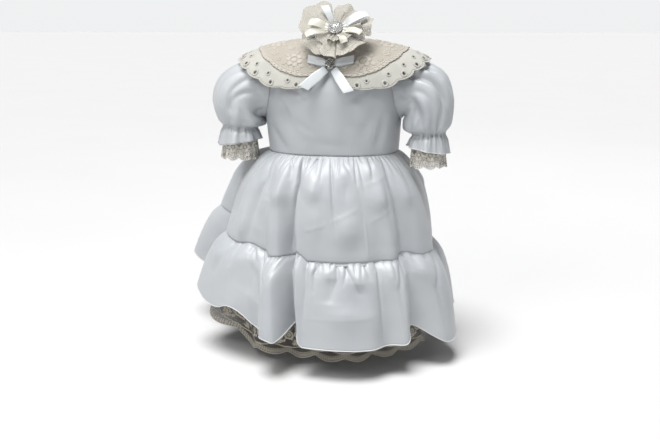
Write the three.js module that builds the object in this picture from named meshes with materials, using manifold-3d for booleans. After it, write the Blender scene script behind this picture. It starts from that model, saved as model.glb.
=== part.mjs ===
// A baby's christening gown: satin bodice, puff sleeves, a two-tier gathered skirt over an underskirt
// edged with lace, a double collar, a ribbon bow and a lace rosette at the neck.
// Millimetres, +Z up. The front faces -Y, and the origin lies midway between the shoulders.
import * as THREE from "three";
import { mergeVertices } from "three/addons/utils/BufferGeometryUtils.js";
import Module from "manifold-3d";

const wasm = await Module();
wasm.setup();

// Driving sizes
const SEAM = 0.3;
const SATIN = 1.6;
const LACE = 1.2;
const SKIRT_LENGTH = 258;
const UNDERSKIRT_LENGTH = 287;
const TIER_AT = 0.53;
const RING_SQUARENESS = 2.25;
const BACK_OPENING = 0.3;
const FAR = 600;

const GATHERS = { count: 24, waist: 2.4, tier: 2.8, unevenness: 0.5 };
const ARMHOLE = { height: -64, half_height: 43, half_depth: 36 };
const SCALLOPS = { eyelet: 12, guipure: 9, hem_lace: 21, cuff_lace: 9 };
const EYELET_HOLE = { across: 5.2, sides: 6, from_edge: 0.085 };

// Bodice rings from the neck down. side, front and back are reaches from the axis, and each
// height_ column is the height of the ring there.
const BODICE_RINGS = [
  { down: 0.0, side: 45, front: 44, back: 42, height_side: 0, height_front: -25, height_back: -8 },
  { down: 0.1, side: 62, front: 54, back: 52, height_side: -7, height_front: -35, height_back: -22 },
  { down: 0.22, side: 82, front: 62, back: 60, height_side: -16, height_front: -46, height_back: -36 },
  { down: 0.32, side: 95, front: 68, back: 66, height_side: -30, height_front: -57, height_back: -51 },
  { down: 0.45, side: 100, front: 72, back: 70, height_side: -52, height_front: -71, height_back: -67 },
  { down: 0.62, side: 103, front: 74, back: 72, height_side: -85, height_front: -92, height_back: -90 },
  { down: 0.8, side: 101, front: 74, back: 73, height_side: -120, height_front: -122, height_back: -121 },
  { down: 1.0, side: 98, front: 72, back: 72, height_side: -158, height_front: -158, height_back: -158 },
];

// Skirt rings from the waist down
const SKIRT_RINGS = [
  { down: 0.0, side: 98, front: 72, back: 72, height: -158 },
  { down: 0.03, side: 108, front: 82, back: 83, height: -166 },
  { down: 0.1, side: 122, front: 98, back: 100, height: -185 },
  { down: 0.21, side: 138, front: 112, back: 116, height: -215 },
  { down: 0.38, side: 149, front: 121, back: 128, height: -260 },
  { down: TIER_AT, side: 154, front: 126, back: 134, height: -300 },
  { down: 0.56, side: 160, front: 132, back: 140, height: -308 },
  { down: 0.65, side: 172, front: 143, back: 152, height: -330 },
  { down: 0.81, side: 182, front: 152, back: 162, height: -370 },
  { down: 1.0, side: 188, front: 160, back: 170, height: -416 },
];

// Large folds of the outer skirt: where each lies at the waist and at the hem in degrees round the
// ring, its half width in degrees, and how far it stands out (or in, if negative) on the way down.
const SKIRT_FOLDS = [
  { top: 247, hem: 256.5, half_width: 2.8, upper: -10, tier: -18, low: -34 },
  { top: 240, hem: 249, half_width: 4.6, upper: 3, tier: 6, low: 20 },
  { top: 232, hem: 240, half_width: 3, upper: -2, tier: -3, low: -6 },
  { top: 226, hem: 236, half_width: 8, upper: -3, tier: -4, low: -10 },
  { top: 198, hem: 198, half_width: 13, upper: 5, tier: 11, low: 24 },
  { top: 177, hem: 177, half_width: 9, upper: -8, tier: -20, low: -34 },
  { top: 157, hem: 157, half_width: 17, upper: 44, tier: 55, low: 80 },
  { top: 280, hem: 281, half_width: 14, upper: 2, tier: 4, low: 8 },
  { top: 301, hem: 302, half_width: 5, upper: -3, tier: -5, low: -9 },
  { top: 309, hem: 310, half_width: 5, upper: 1, tier: 3, low: 6 },
  { top: 317, hem: 319, half_width: 6, upper: -7, tier: -11, low: -28 },
  { top: 337, hem: 335, half_width: 12, upper: 3, tier: 5, low: 14 },
  { top: 2, hem: 4, half_width: 10, upper: -3, tier: -5, low: -12 },
  { top: 24, hem: 24, half_width: 12, upper: 3, tier: 5, low: 12 },
  { top: 46, hem: 46, half_width: 10, upper: -5, tier: -8, low: -18 },
  { top: 68, hem: 68, half_width: 12, upper: 3, tier: 5, low: 12 },
  { top: 90, hem: 90, half_width: 10, upper: -6, tier: -9, low: -20 },
  { top: 112, hem: 112, half_width: 12, upper: 2, tier: 4, low: 10 },
  { top: 132, hem: 132, half_width: 9, upper: -4, tier: -7, low: -14 },
];

// Where the cloth is hitched up, or hangs lower if negative
const SKIRT_LIFTS = [
  { at: 155, half_width: 27, tier: 38, low: 66 },
  { at: 199, half_width: 10, tier: 14, low: 44 },
  { at: 224, half_width: 12, tier: 13, low: 38 },
  { at: 248, half_width: 4, tier: 4, low: 12 },
  { at: 257, half_width: 3.4, tier: 12, low: 26 },
  { at: 319, half_width: 6, tier: 6, low: 19 },
  { at: 336, half_width: 12, tier: 0, low: -11 },
];

// Where a fold rolls over sideways, in millimetres along the ring
const SKIRT_ROLLS = [{ at: 250, half_width: 3.4, tier: 1, low: 9 }];

const UNDERSKIRT_RINGS = [
  { down: 0.0, side: 96.1, front: 70.1, back: 70.1, height: -158.4 },
  { down: 0.2, side: 108, front: 84, back: 86, height: -200 },
  { down: 0.5, side: 118, front: 95, back: 100, height: -290 },
  { down: 0.82, side: 134, front: 108, back: 118, height: -392 },
  { down: 1.0, side: 143, front: 116, back: 126, height: -446 },
];
const HEM_LACE_AT = 0.82;

const UNDERSKIRT_FOLDS = [
  { top: 198, hem: 199, half_width: 13, upper: 4, tier: 14, low: 54 },
  { top: 157, hem: 157, half_width: 17, upper: 6, tier: 34, low: 66 },
  { top: 228, hem: 230, half_width: 9, upper: 0, tier: 4, low: 12 },
  { top: 282, hem: 283, half_width: 12, upper: 0, tier: 4, low: 10 },
  { top: 300, hem: 301, half_width: 6, upper: 0, tier: -3, low: -6 },
  { top: 338, hem: 337, half_width: 10, upper: 0, tier: 4, low: 10 },
  { top: 24, hem: 24, half_width: 10, upper: 0, tier: 3, low: 9 },
  { top: 68, hem: 68, half_width: 10, upper: 0, tier: 3, low: 9 },
  { top: 112, hem: 112, half_width: 10, upper: 0, tier: 3, low: 9 },
];

const UNDERSKIRT_LIFTS = [
  { at: 155, half_width: 27, tier: 34, low: 56 },
  { at: 200, half_width: 16, tier: 8, low: 34 },
  { at: 345, half_width: 20, tier: 2, low: 8 },
];

// Sleeve rings from the armhole to the edge of the self ruffle. out and height place the middle,
// tilt turns the ring from facing outward to facing down. span and depth are its half sizes.
const SLEEVE_RINGS = [
  { down: 0.0, out: 80, forward: 0, height: -64, tilt: 0, span: 44.5, depth: 37.5 },
  { down: 0.14, out: 104, forward: 0, height: -66, tilt: 6, span: 45, depth: 43 },
  { down: 0.28, out: 124, forward: 2, height: -72, tilt: 26, span: 43, depth: 48 },
  { down: 0.42, out: 138, forward: 6, height: -84, tilt: 48, span: 44, depth: 50 },
  { down: 0.55, out: 142, forward: 11, height: -100, tilt: 68, span: 41.5, depth: 46 },
  { down: 0.66, out: 141, forward: 16, height: -115, tilt: 80, span: 36.5, depth: 38 },
  { down: 0.76, out: 143, forward: 20, height: -125, tilt: 86, span: 25.5, depth: 27 },
  { down: 0.86, out: 143, forward: 21, height: -134, tilt: 88, span: 30, depth: 32 },
  { down: 1.0, out: 143, forward: 22, height: -147, tilt: 90, span: 33, depth: 36 },
];
const SLEEVE_SIDES = [
  { name: "right", sign: -1, reach: 1.02, rise: 2, cuff_out: -4, cuff_drop: -2 },
  { name: "left", sign: 1, reach: 0.97, rise: 6, cuff_out: 1, cuff_drop: 4 },
];
const SLEEVE_WAVES = { count: 8, head: 1.5, puff: 2.4, ruffle: 3 };

const CUFF_LACE_RINGS = [
  { down: 0.0, out: 143, forward: 20, height: -125.4, tilt: 86, span: 23.1, depth: 24.6 },
  { down: 0.4, out: 143, forward: 22, height: -145, tilt: 89, span: 25, depth: 27 },
  { down: 1.0, out: 143, forward: 25, height: -169, tilt: 90, span: 27, depth: 29 },
];

// The surface under the collar, from its seam at the neck out to its longest reach
const COLLAR_RINGS = [
  { down: 0.0, side: 44.4, front: 43.4, back: 41.4, height_side: 4, height_front: -22, height_back: -5 },
  { down: 0.25, side: 70, front: 57, back: 55, height_side: 0.5, height_front: -33, height_back: -20 },
  { down: 0.5, side: 95, front: 68, back: 66, height_side: -5, height_front: -48, height_back: -37 },
  { down: 0.75, side: 119, front: 76, back: 74, height_side: -12, height_front: -65, height_back: -57 },
  { down: 1.0, side: 142, front: 80, back: 78, height_side: -24, height_front: -84, height_back: -80 },
];
const COLLAR_FRONT = { inner_degrees: 4, outer_degrees: 17, corner_round: 0.22, corner_degrees: 13 };
const COLLAR_BACK = { corner_round: 0.12, corner_degrees: 8 };
const GUIPURE_REACH = 0.66;
const GUIPURE_LIFT = 0.4;

const NECK_BAND = { height: 5, side: 42.6, front: 41.6, back: 39.6 };

const BROOCH = { x: 3.5, y: -59.8, height: -29.9, radius: 8, thickness: 3.4, lean: 35, above_knot: 4.1 };
const BOW = { ribbon: 12, loop: 33, loop_rise: 9, thickness: 1 };
const BOW_TAILS = [
  { name: "bow_tail_right", end_x: -31, end_y: -86, end_height: -60 },
  { name: "bow_tail_left", end_x: 33, end_y: -86, end_height: -65 },
];

const ROSETTE = { x: 9, y: -42, height: 17, lean: 38, heart: 5, petal_height: 3.2 };
const PETALS = [
  { at: 66, half_angle: 28, reach: 44, cup: 5 },
  { at: 10, half_angle: 26, reach: 54, cup: 6 },
  { at: 322, half_angle: 21, reach: 50, cup: 4 },
  { at: 272, half_angle: 27, reach: 50, cup: 5 },
  { at: 216, half_angle: 27, reach: 52, cup: 6 },
  { at: 148, half_angle: 36, reach: 57, cup: 4 },
];
const ROSETTE_RIBBONS = [
  { at: 118, reach: 40, width: 9, layer: 0 },
  { at: 25, reach: 48, width: 10, layer: 0 },
  { at: 341, reach: 40, width: 10, layer: 1 },
  { at: 299, reach: 33, width: 8, layer: 0 },
  { at: 202, reach: 44, width: 8, layer: 0 },
  { at: 174, reach: 36, width: 10, layer: 1 },
];
const RIBBON_RISE = { start: 5.2, layer: 1.4, arch: 8.5, from_middle: 6, flat_to: 15 };
const JEWEL = { radius: 11, thickness: 5, height: 7.5 };
const BACKING = { width: 14, thickness: 1.6, seam_y: -39.3, seam_height: -24, face: 1.9, top: 12 };

const BUTTONS = { count: 3, radius: 5.5, thickness: 2.6, first_height: -94, pitch: 25 };
const PLACKET = { half_width: 8, top: 0.06, bottom: 0.97 };

const COLOURS = {
  satin: 0xdfe2e6,
  eyelet: 0xdedace,
  guipure: 0xe6dccd,
  lace: 0xcfc9bb,
  ribbon: 0xf0f1ee,
  button: 0xe9e7e0,
  jewel: 0xcfd2d2,
  stone: 0x8f8d88,
  backing: 0xe4e0d6,
};

// Small helpers

function radians(degrees) {
  return (degrees * Math.PI) / 180;
}

function mix(a, b, share) {
  return a + (b - a) * share;
}

// A soft hump, 1 in the middle and 0 at twice the half width
function hump(degrees, halfWidth) {
  const away = (((degrees + 180) % 360) + 360) % 360 - 180;
  if (Math.abs(away) >= 2 * halfWidth) return 0;
  return Math.cos((away / (2 * halfWidth)) * (Math.PI / 2)) ** 2;
}

// One column of a table at a place between its rows, on a smooth curve that never overshoots
function column(table, key, at) {
  const last = table.length - 2;
  let i = 0;
  while (i < last && at > table[i + 1].down) i += 1;
  const slopes = table.slice(1).map((row, k) => (row[key] - table[k][key]) / (row.down - table[k].down));
  const tangent = (k) => {
    if (k === 0) return slopes[0];
    if (k === table.length - 1) return slopes[k - 1];
    const product = slopes[k - 1] * slopes[k];
    return product <= 0 ? 0 : (2 * product) / (slopes[k - 1] + slopes[k]);
  };
  const width = table[i + 1].down - table[i].down;
  const u = (at - table[i].down) / width;
  const rise = table[i + 1][key] - table[i][key];
  const start = u * (1 - u) ** 2 * width * tangent(i);
  const end = u * u * (u - 1) * width * tangent(i + 1);
  return table[i][key] + rise * u * u * (3 - 2 * u) + start + end;
}

function rowAt(table, at) {
  const row = {};
  for (const key of Object.keys(table[0])) row[key] = column(table, key, at);
  return row;
}

// How much of each value of a fold applies at a place down the skirt
function grown(down, upper, tier, low) {
  if (down < 0.08) return mix(0, upper / 2, down / 0.08);
  if (down < 0.35) return mix(upper / 2, upper, (down - 0.08) / 0.27);
  if (down < TIER_AT) return mix(upper, tier, (down - 0.35) / (TIER_AT - 0.35));
  return mix(tier, low, (down - TIER_AT) / (1 - TIER_AT));
}

// A point of an oval ring, with front and back reaches of their own
function ovalPoint(degrees, side, front, back) {
  const c = Math.cos(radians(degrees));
  const s = Math.sin(radians(degrees));
  const n = RING_SQUARENESS;
  const square = (Math.abs(c) ** n + Math.abs(s) ** n) ** (-1 / n);
  return { x: side * c * square, y: (s < 0 ? front : back) * s * square, c, s };
}

// Cloth surfaces

function gatherPush(degrees, down) {
  const wander = GATHERS.unevenness * Math.sin(radians(3 * degrees + 20));
  const wave = Math.cos(radians(GATHERS.count * degrees) + wander);
  const below = down < TIER_AT ? down : down - TIER_AT;
  const size = down < TIER_AT ? GATHERS.waist : GATHERS.tier;
  const near = Math.min(1, below / 0.04);
  const fade = down < TIER_AT ? 1 - below / 0.5 : 1 - below / 0.9;
  return size * wave * near * Math.max(0, fade);
}

// The sum of a table's humps at a place, for lifts and rolls
function humpsAt(table, degrees, down) {
  let sum = 0;
  for (const row of table) {
    sum += grown(down, row.tier / 2, row.tier, row.low) * hump(degrees - row.at, row.half_width);
  }
  return sum;
}

function hangingPoint(rings, folds, lifts, rolls, degrees, down, extraPush) {
  const ring = rowAt(rings, down);
  const oval = ovalPoint(degrees, ring.side, ring.front, ring.back);
  let push = extraPush;
  for (const fold of folds) {
    const middle = mix(fold.top, fold.hem, down);
    push += grown(down, fold.upper, fold.tier, fold.low) * hump(degrees - middle, fold.half_width);
  }
  const grow = 1 + push / Math.hypot(oval.x, oval.y);
  const roll = humpsAt(rolls, degrees, down);
  const x = oval.x * grow - roll * oval.s;
  const y = oval.y * grow + roll * oval.c;
  return new THREE.Vector3(x, y, ring.height + humpsAt(lifts, degrees, down));
}

function skirtPoint(degrees, down) {
  const push = gatherPush(degrees, down);
  return hangingPoint(SKIRT_RINGS, SKIRT_FOLDS, SKIRT_LIFTS, SKIRT_ROLLS, degrees, down, push);
}

function underskirtPoint(degrees, down) {
  return hangingPoint(UNDERSKIRT_RINGS, UNDERSKIRT_FOLDS, UNDERSKIRT_LIFTS, [], degrees, down, 0);
}

function drapedPoint(rings, degrees, down) {
  const ring = rowAt(rings, down);
  const oval = ovalPoint(degrees, ring.side, ring.front, ring.back);
  const sideways = Math.abs(oval.c) ** 1.8;
  const end = oval.s < 0 ? ring.height_front : ring.height_back;
  return new THREE.Vector3(oval.x, oval.y, mix(end, ring.height_side, sideways));
}

function bodicePoint(degrees, down) {
  return drapedPoint(BODICE_RINGS, degrees, down);
}

function collarPoint(degrees, down) {
  return drapedPoint(COLLAR_RINGS, degrees, down);
}

function sleeveRingPoint(ring, degrees, side, push, drop) {
  const tilt = radians(ring.tilt);
  const span = (ring.span + push) * Math.cos(radians(degrees));
  const toCuff = Math.max(0, Math.min(1, (-90 - ring.height) / 35));
  const out = 100 + (ring.out + Math.sin(tilt) * span - 100) * side.reach + side.cuff_out * toCuff;
  const y = -ring.forward + (ring.depth + push) * Math.sin(radians(degrees)) * side.sign;
  const height = ring.height + Math.cos(tilt) * span - drop - side.cuff_drop * toCuff;
  return new THREE.Vector3(side.sign * out, y, height);
}

// Walls

// Turns a grid of points into vectors that point out of the cloth. The grid runs round in i and
// down in j, and level keeps the vectors horizontal so that seam edges stay in their plane.
function outwardVectors(grid, around, level) {
  const rows = grid.length;
  return grid.map((line, i) =>
    line.map((point, j) => {
      const before = around ? grid[(i - 1 + rows) % rows] : grid[Math.max(0, i - 1)];
      const after = around ? grid[(i + 1) % rows] : grid[Math.min(rows - 1, i + 1)];
      const across = new THREE.Vector3().subVectors(after[j], before[j]);
      const down = new THREE.Vector3(0, 0, -1);
      if (!level) {
        down.subVectors(line[Math.min(line.length - 1, j + 1)], line[Math.max(0, j - 1)]);
      }
      const out = across.cross(down).negate();
      if (level) out.z = 0;
      return out.normalize();
    }),
  );
}

// A closed wall of cloth between two offsets of a grid of points
function wallGeometry(grid, vectors, inside, outside, around) {
  const rows = grid.length;
  const points = grid[0].length;
  const places = [];
  for (const offset of [outside, inside]) {
    for (let i = 0; i < rows; i += 1) {
      for (let j = 0; j < points; j += 1) {
        const p = grid[i][j].clone().addScaledVector(vectors[i][j], offset);
        places.push(p.x, p.y, p.z);
      }
    }
  }
  const outer = (i, j) => (i % rows) * points + j;
  const inner = (i, j) => rows * points + outer(i, j);
  const faces = [];
  const quad = (a, b, c, d) => faces.push(a, b, c, a, c, d);
  const lastRow = around ? rows : rows - 1;
  for (let i = 0; i < lastRow; i += 1) {
    for (let j = 0; j < points - 1; j += 1) {
      quad(outer(i, j), outer(i, j + 1), outer(i + 1, j + 1), outer(i + 1, j));
      quad(inner(i, j), inner(i + 1, j), inner(i + 1, j + 1), inner(i, j + 1));
    }
    quad(outer(i, 0), outer(i + 1, 0), inner(i + 1, 0), inner(i, 0));
    const end = points - 1;
    quad(outer(i, end), inner(i, end), inner(i + 1, end), outer(i + 1, end));
  }
  if (!around) {
    for (let j = 0; j < points - 1; j += 1) {
      quad(outer(0, j), inner(0, j), inner(0, j + 1), outer(0, j + 1));
      const end = rows - 1;
      quad(outer(end, j), outer(end, j + 1), inner(end, j + 1), inner(end, j));
    }
  }
  const geometry = new THREE.BufferGeometry();
  geometry.setAttribute("position", new THREE.Float32BufferAttribute(places, 3));
  geometry.setIndex(faces);
  return geometry;
}

// A grid of points from a surface, with steps round it and a list of places down it
function gridOf(surface, angles, places) {
  return angles.map((degrees) => places.map((down) => surface(degrees, down)));
}

function anglesRound(count) {
  return Array.from({ length: count }, (_, i) => (360 * i) / count);
}

function evenPlaces(from, to, steps) {
  return Array.from({ length: steps + 1 }, (_, i) => mix(from, to, i / steps));
}

// Cutting and joining

function solidOf(geometry) {
  const bare = new THREE.BufferGeometry();
  bare.setAttribute("position", geometry.getAttribute("position"));
  bare.setIndex(geometry.index);
  const merged = mergeVertices(bare, 1e-4);
  const mesh = new wasm.Mesh({
    numProp: 3,
    vertProperties: new Float32Array(merged.attributes.position.array),
    triVerts: new Uint32Array(merged.index.array),
  });
  return new wasm.Manifold(mesh);
}

function geometryOf(solid) {
  const mesh = solid.getMesh();
  const geometry = new THREE.BufferGeometry();
  geometry.setAttribute("position", new THREE.Float32BufferAttribute(mesh.vertProperties, 3));
  geometry.setIndex(new THREE.Uint32BufferAttribute(mesh.triVerts, 1));
  return geometry;
}

function boxSolid(low, high) {
  const size = high.map((value, k) => value - low[k]);
  const box = new THREE.BoxGeometry(...size);
  box.translate(...low.map((value, k) => value + size[k] / 2));
  return solidOf(box);
}

function frontHalf() {
  return boxSolid([-FAR, -FAR, -FAR], [FAR, -SEAM / 2, FAR]);
}

function backHalf() {
  return boxSolid([-FAR, SEAM / 2, -FAR], [FAR, FAR, FAR]);
}

// Sub-parts

const gown = new THREE.Group();

function addPiece(name, geometry, colour, roughness, metalness = 0) {
  const flat = geometry.index ? geometry.toNonIndexed() : geometry;
  flat.deleteAttribute("normal");
  flat.computeVertexNormals();
  const material = new THREE.MeshStandardMaterial({ color: colour, roughness, metalness });
  const piece = new THREE.Mesh(flat, material);
  piece.name = name;
  gown.add(piece);
  return piece;
}

function bodiceGrid() {
  const places = [0, 0.07, 0.15, 0.24, 0.32, 0.42, 0.58, 0.78, 1 - SEAM / 2 / 70];
  return gridOf(bodicePoint, anglesRound(40), places);
}

// The solid inside the bodice's outer surface, grown by one seam
function bodiceCore(grid, vectors) {
  const grown = grid.map((line, i) => line.map((p, j) => p.clone().addScaledVector(vectors[i][j], SEAM)));
  const places = grown.flat().flatMap((p) => [p.x, p.y, p.z]);
  const rows = grown.length;
  const points = grown[0].length;
  const top = rows * points;
  const bottom = top + 1;
  places.push(0, 0, grown[0][0].z, 0, 0, grown[0][points - 1].z);
  const faces = [];
  for (let i = 0; i < rows; i += 1) {
    const here = i * points;
    const next = ((i + 1) % rows) * points;
    for (let j = 0; j < points - 1; j += 1) {
      faces.push(here + j, here + j + 1, next + j + 1, here + j, next + j + 1, next + j);
    }
    faces.push(top, here, next, bottom, next + points - 1, here + points - 1);
  }
  const geometry = new THREE.BufferGeometry();
  geometry.setAttribute("position", new THREE.Float32BufferAttribute(places, 3));
  geometry.setIndex(faces);
  return solidOf(geometry);
}

function armholeSolid(sign) {
  const outline = new THREE.Shape();
  outline.absellipse(0, 0, ARMHOLE.half_height, ARMHOLE.half_depth, 0, 2 * Math.PI);
  const settings = { depth: 90, bevelEnabled: false, curveSegments: 11 };
  const geometry = new THREE.ExtrudeGeometry(outline, settings);
  geometry.rotateY(Math.PI / 2);
  geometry.translate(sign > 0 ? 55 : -145, 0, ARMHOLE.height);
  geometry.deleteAttribute("uv");
  geometry.deleteAttribute("normal");
  return solidOf(mergeVertices(geometry, 1e-4));
}

function buildBodice() {
  const grid = bodiceGrid();
  const vectors = outwardVectors(grid, true, false);
  for (const line of vectors) line[line.length - 1].setZ(0).normalize();
  let shell = solidOf(wallGeometry(grid, vectors, -SATIN, 0, true));
  shell = shell.subtract(armholeSolid(1)).subtract(armholeSolid(-1));
  const back = shell.intersect(backHalf());
  addPiece("bodice_front", geometryOf(shell.intersect(frontHalf())), COLOURS.satin, 0.5);
  const right = boxSolid([-FAR, 0, -FAR], [-BACK_OPENING / 2, FAR, FAR]);
  const left = boxSolid([BACK_OPENING / 2, 0, -FAR], [FAR, FAR, FAR]);
  addPiece("bodice_back_right", geometryOf(back.intersect(right)), COLOURS.satin, 0.5);
  addPiece("bodice_back_left", geometryOf(back.intersect(left)), COLOURS.satin, 0.5);
  return bodiceCore(grid, vectors);
}

function buildPlacket() {
  const angles = [-1, -0.34, 0.34, 1].map((share) => 90 - share * 6.4);
  const places = evenPlaces(PLACKET.top, PLACKET.bottom, 8);
  const surface = (degrees, down) => {
    const point = bodicePoint(90, down);
    point.x = ((90 - degrees) / 6.4) * PLACKET.half_width;
    point.y = bodicePoint(90 - Math.abs(90 - degrees), down).y;
    return point;
  };
  const grid = gridOf(surface, angles.reverse(), places);
  const vectors = outwardVectors(grid, false, false);
  addPiece("back_placket", wallGeometry(grid, vectors, 0.5, 0.5 + LACE, false), COLOURS.satin, 0.5);
}

function buildButtons() {
  for (let k = 0; k < BUTTONS.count; k += 1) {
    const height = BUTTONS.first_height - k * BUTTONS.pitch;
    let down = 0;
    while (bodicePoint(90, down).z > height) down += 0.001;
    const here = bodicePoint(90, down);
    const below = bodicePoint(90, down + 0.01);
    const slope = Math.atan2(below.y - here.y, here.z - below.z);
    const r = BUTTONS.radius;
    const t = BUTTONS.thickness;
    const profile = [
      new THREE.Vector2(0, 0),
      new THREE.Vector2(r, 0),
      new THREE.Vector2(r, t - 0.8),
      new THREE.Vector2(r - 0.8, t),
      new THREE.Vector2(0, t - 0.5),
    ];
    const button = addPiece(
      "back_button_" + (k + 1),
      new THREE.LatheGeometry(profile, 12),
      COLOURS.button,
      0.3,
    );
    button.rotation.x = slope;
    const away = 0.5 + LACE + SEAM;
    button.position.set(0, here.y + away * Math.cos(slope), here.z + away * Math.sin(slope));
  }
}

function buildNeckBand() {
  const surface = (degrees, down) => {
    const oval = ovalPoint(degrees, NECK_BAND.side, NECK_BAND.front, NECK_BAND.back);
    const edge = collarPoint(degrees, 0);
    return new THREE.Vector3(oval.x, oval.y, edge.z + 1.5 - down * NECK_BAND.height);
  };
  const grid = gridOf(surface, anglesRound(36), [0, 1]);
  const vectors = outwardVectors(grid, true, true);
  addPiece("neck_band", wallGeometry(grid, vectors, 0, LACE, true), COLOURS.satin, 0.5);
}

function sleevePush(degrees, down) {
  const wave = Math.cos(radians(SLEEVE_WAVES.count * degrees + 25));
  const head = hump(down * 100 - 12, 9) * Math.max(0, Math.cos(radians(degrees)));
  const puff = hump(down * 100 - 66, 7);
  const ruffle = Math.max(0, (down - 0.78) / 0.22);
  return wave * (SLEEVE_WAVES.head * head + SLEEVE_WAVES.puff * puff + SLEEVE_WAVES.ruffle * ruffle);
}

function ruffleDrop(degrees, down) {
  if (down < 0.8) return 0;
  return 5 * ((down - 0.8) / 0.2) * Math.cos(radians(degrees));
}

function sleevePoint(side, degrees, down) {
  const ring = rowAt(SLEEVE_RINGS, down);
  ring.height += side.rise * hump(down * 100 - 36, 14);
  return sleeveRingPoint(ring, degrees, side, sleevePush(degrees, down), ruffleDrop(degrees, down));
}

function buildSleeve(side, core) {
  const places = [0.04, 0.16, 0.27, 0.38, 0.5, 0.6, 0.69, 0.76, 0.82, 1];
  const grid = gridOf((degrees, down) => sleevePoint(side, degrees, down), anglesRound(24), places);
  const vectors = outwardVectors(grid, true, false);
  const sleeve = solidOf(wallGeometry(grid, vectors, -SATIN, 0, true)).subtract(core);
  addPiece("sleeve_" + side.name, geometryOf(sleeve), COLOURS.satin, 0.5);
}

function cuffLacePoint(side, degrees, down) {
  const ring = rowAt(CUFF_LACE_RINGS, down);
  const scallop = Math.abs(Math.cos(radians((SCALLOPS.cuff_lace * degrees) / 2)));
  const wave = 1.5 * down * Math.cos(radians(5 * degrees));
  return sleeveRingPoint(ring, degrees, side, wave, down * 4 * scallop);
}

function buildCuffLace(side) {
  const surface = (degrees, down) => cuffLacePoint(side, degrees, down);
  const grid = gridOf(surface, anglesRound(3 * SCALLOPS.cuff_lace), evenPlaces(0, 1, 2));
  const vectors = outwardVectors(grid, true, false);
  addPiece("cuff_lace_" + side.name, wallGeometry(grid, vectors, -LACE, 0, true), COLOURS.lace, 0.8);
}

function buildHanging(name, surface, angles, places, thickness, colour) {
  const grid = gridOf(surface, angles, places);
  const vectors = outwardVectors(grid, true, true);
  const tube = solidOf(wallGeometry(grid, vectors, -thickness, 0, true));
  addPiece(name + "_front", geometryOf(tube.intersect(frontHalf())), colour, 0.6);
  addPiece(name + "_back", geometryOf(tube.intersect(backHalf())), colour, 0.6);
}

// Steps round the skirt, closer together across the front where its folds are narrowest
function skirtAngles() {
  const angles = [];
  const stretches = [
    { from: 0, to: 230, step: 5 },
    { from: 230, to: 239, step: 3 },
    { from: 239, to: 264, step: 1.25 },
    { from: 264, to: 325, step: 3 },
    { from: 325, to: 360, step: 5 },
  ];
  for (const { from, to, step } of stretches) {
    for (let degrees = from; degrees < to; degrees += step) angles.push(degrees);
  }
  return angles;
}

function buildSkirt() {
  const gap = SEAM / 2 / SKIRT_LENGTH;
  const upper = [gap, 0.03, 0.09, 0.2, 0.36, TIER_AT - gap];
  const lower = [TIER_AT + gap, 0.565, 0.64, 0.8, 1];
  buildHanging("skirt_upper", skirtPoint, skirtAngles(), upper, SATIN, COLOURS.satin);
  buildHanging("skirt_lower", skirtPoint, skirtAngles(), lower, SATIN, COLOURS.satin);
}

function hemLacePoint(degrees, down) {
  const point = underskirtPoint(degrees, down);
  const share = (down - HEM_LACE_AT) / (1 - HEM_LACE_AT);
  const scallop = Math.abs(Math.cos(radians((SCALLOPS.hem_lace * degrees) / 2)));
  point.z -= 7 * scallop * Math.max(0, share);
  return point;
}

function buildUnderskirt() {
  const gap = SEAM / 2 / UNDERSKIRT_LENGTH;
  const places = [0, 0.2, 0.5, HEM_LACE_AT - gap];
  const steps = anglesRound(3 * SCALLOPS.hem_lace);
  buildHanging("underskirt", underskirtPoint, steps, places, LACE, COLOURS.satin);
  const lacePlaces = [HEM_LACE_AT + gap, 0.91, 1];
  buildHanging("underskirt_lace", hemLacePoint, steps, lacePlaces, LACE, COLOURS.lace);
}

// Collar halves run from the front edge to the back edge. share goes along, down goes outward.
function collarDegrees(side, share, down) {
  const front = mix(COLLAR_FRONT.inner_degrees, COLLAR_FRONT.outer_degrees, down);
  return -90 + side.sign * mix(front, 178.5, share);
}

function collarReach(share, full) {
  const fromFront = (share * 180) / COLLAR_FRONT.corner_degrees;
  const fromBack = ((1 - share) * 180) / COLLAR_BACK.corner_degrees;
  const front = COLLAR_FRONT.corner_round * Math.exp(-fromFront * fromFront);
  const back = COLLAR_BACK.corner_round * Math.exp(-fromBack * fromBack);
  return full * (1 - front - back);
}

function collarGrid(side, full, scallops, depth, perScallop, steps) {
  const along = scallops * perScallop;
  const grid = [];
  for (let i = 0; i <= along; i += 1) {
    const share = i / along;
    const scallop = Math.abs(Math.sin((Math.PI * i) / perScallop));
    const edge = collarReach(share, full) - depth * (1 - scallop);
    const line = [];
    for (let j = 0; j <= steps; j += 1) {
      const down = (edge * j) / steps;
      line.push(collarPoint(collarDegrees(side, share, down), down));
    }
    grid.push(line);
  }
  if (side.sign < 0) grid.reverse();
  return grid;
}

function holeSolid(point, out) {
  const radius = EYELET_HOLE.across / 2;
  const pin = new THREE.CylinderGeometry(radius, radius, 12, EYELET_HOLE.sides);
  pin.deleteAttribute("uv");
  pin.deleteAttribute("normal");
  const turn = new THREE.Quaternion().setFromUnitVectors(new THREE.Vector3(0, 1, 0), out);
  pin.applyQuaternion(turn);
  pin.translate(point.x, point.y, point.z);
  return solidOf(mergeVertices(pin, 1e-4));
}

function eyeletHoles(side) {
  const holes = [];
  for (let k = 0; k < SCALLOPS.eyelet; k += 1) {
    const share = (k + 0.5) / SCALLOPS.eyelet;
    const down = collarReach(share, 1) - EYELET_HOLE.from_edge;
    const at = (s, d) => collarPoint(collarDegrees(side, s, d), d);
    const point = at(share, down);
    const along = at(share + 0.01, down).sub(at(share - 0.01, down));
    const outward = at(share, down + 0.02).sub(at(share, down - 0.02));
    const out = along.cross(outward).normalize();
    if (out.z < 0) out.negate();
    holes.push(holeSolid(point, out));
  }
  return holes;
}

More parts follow.
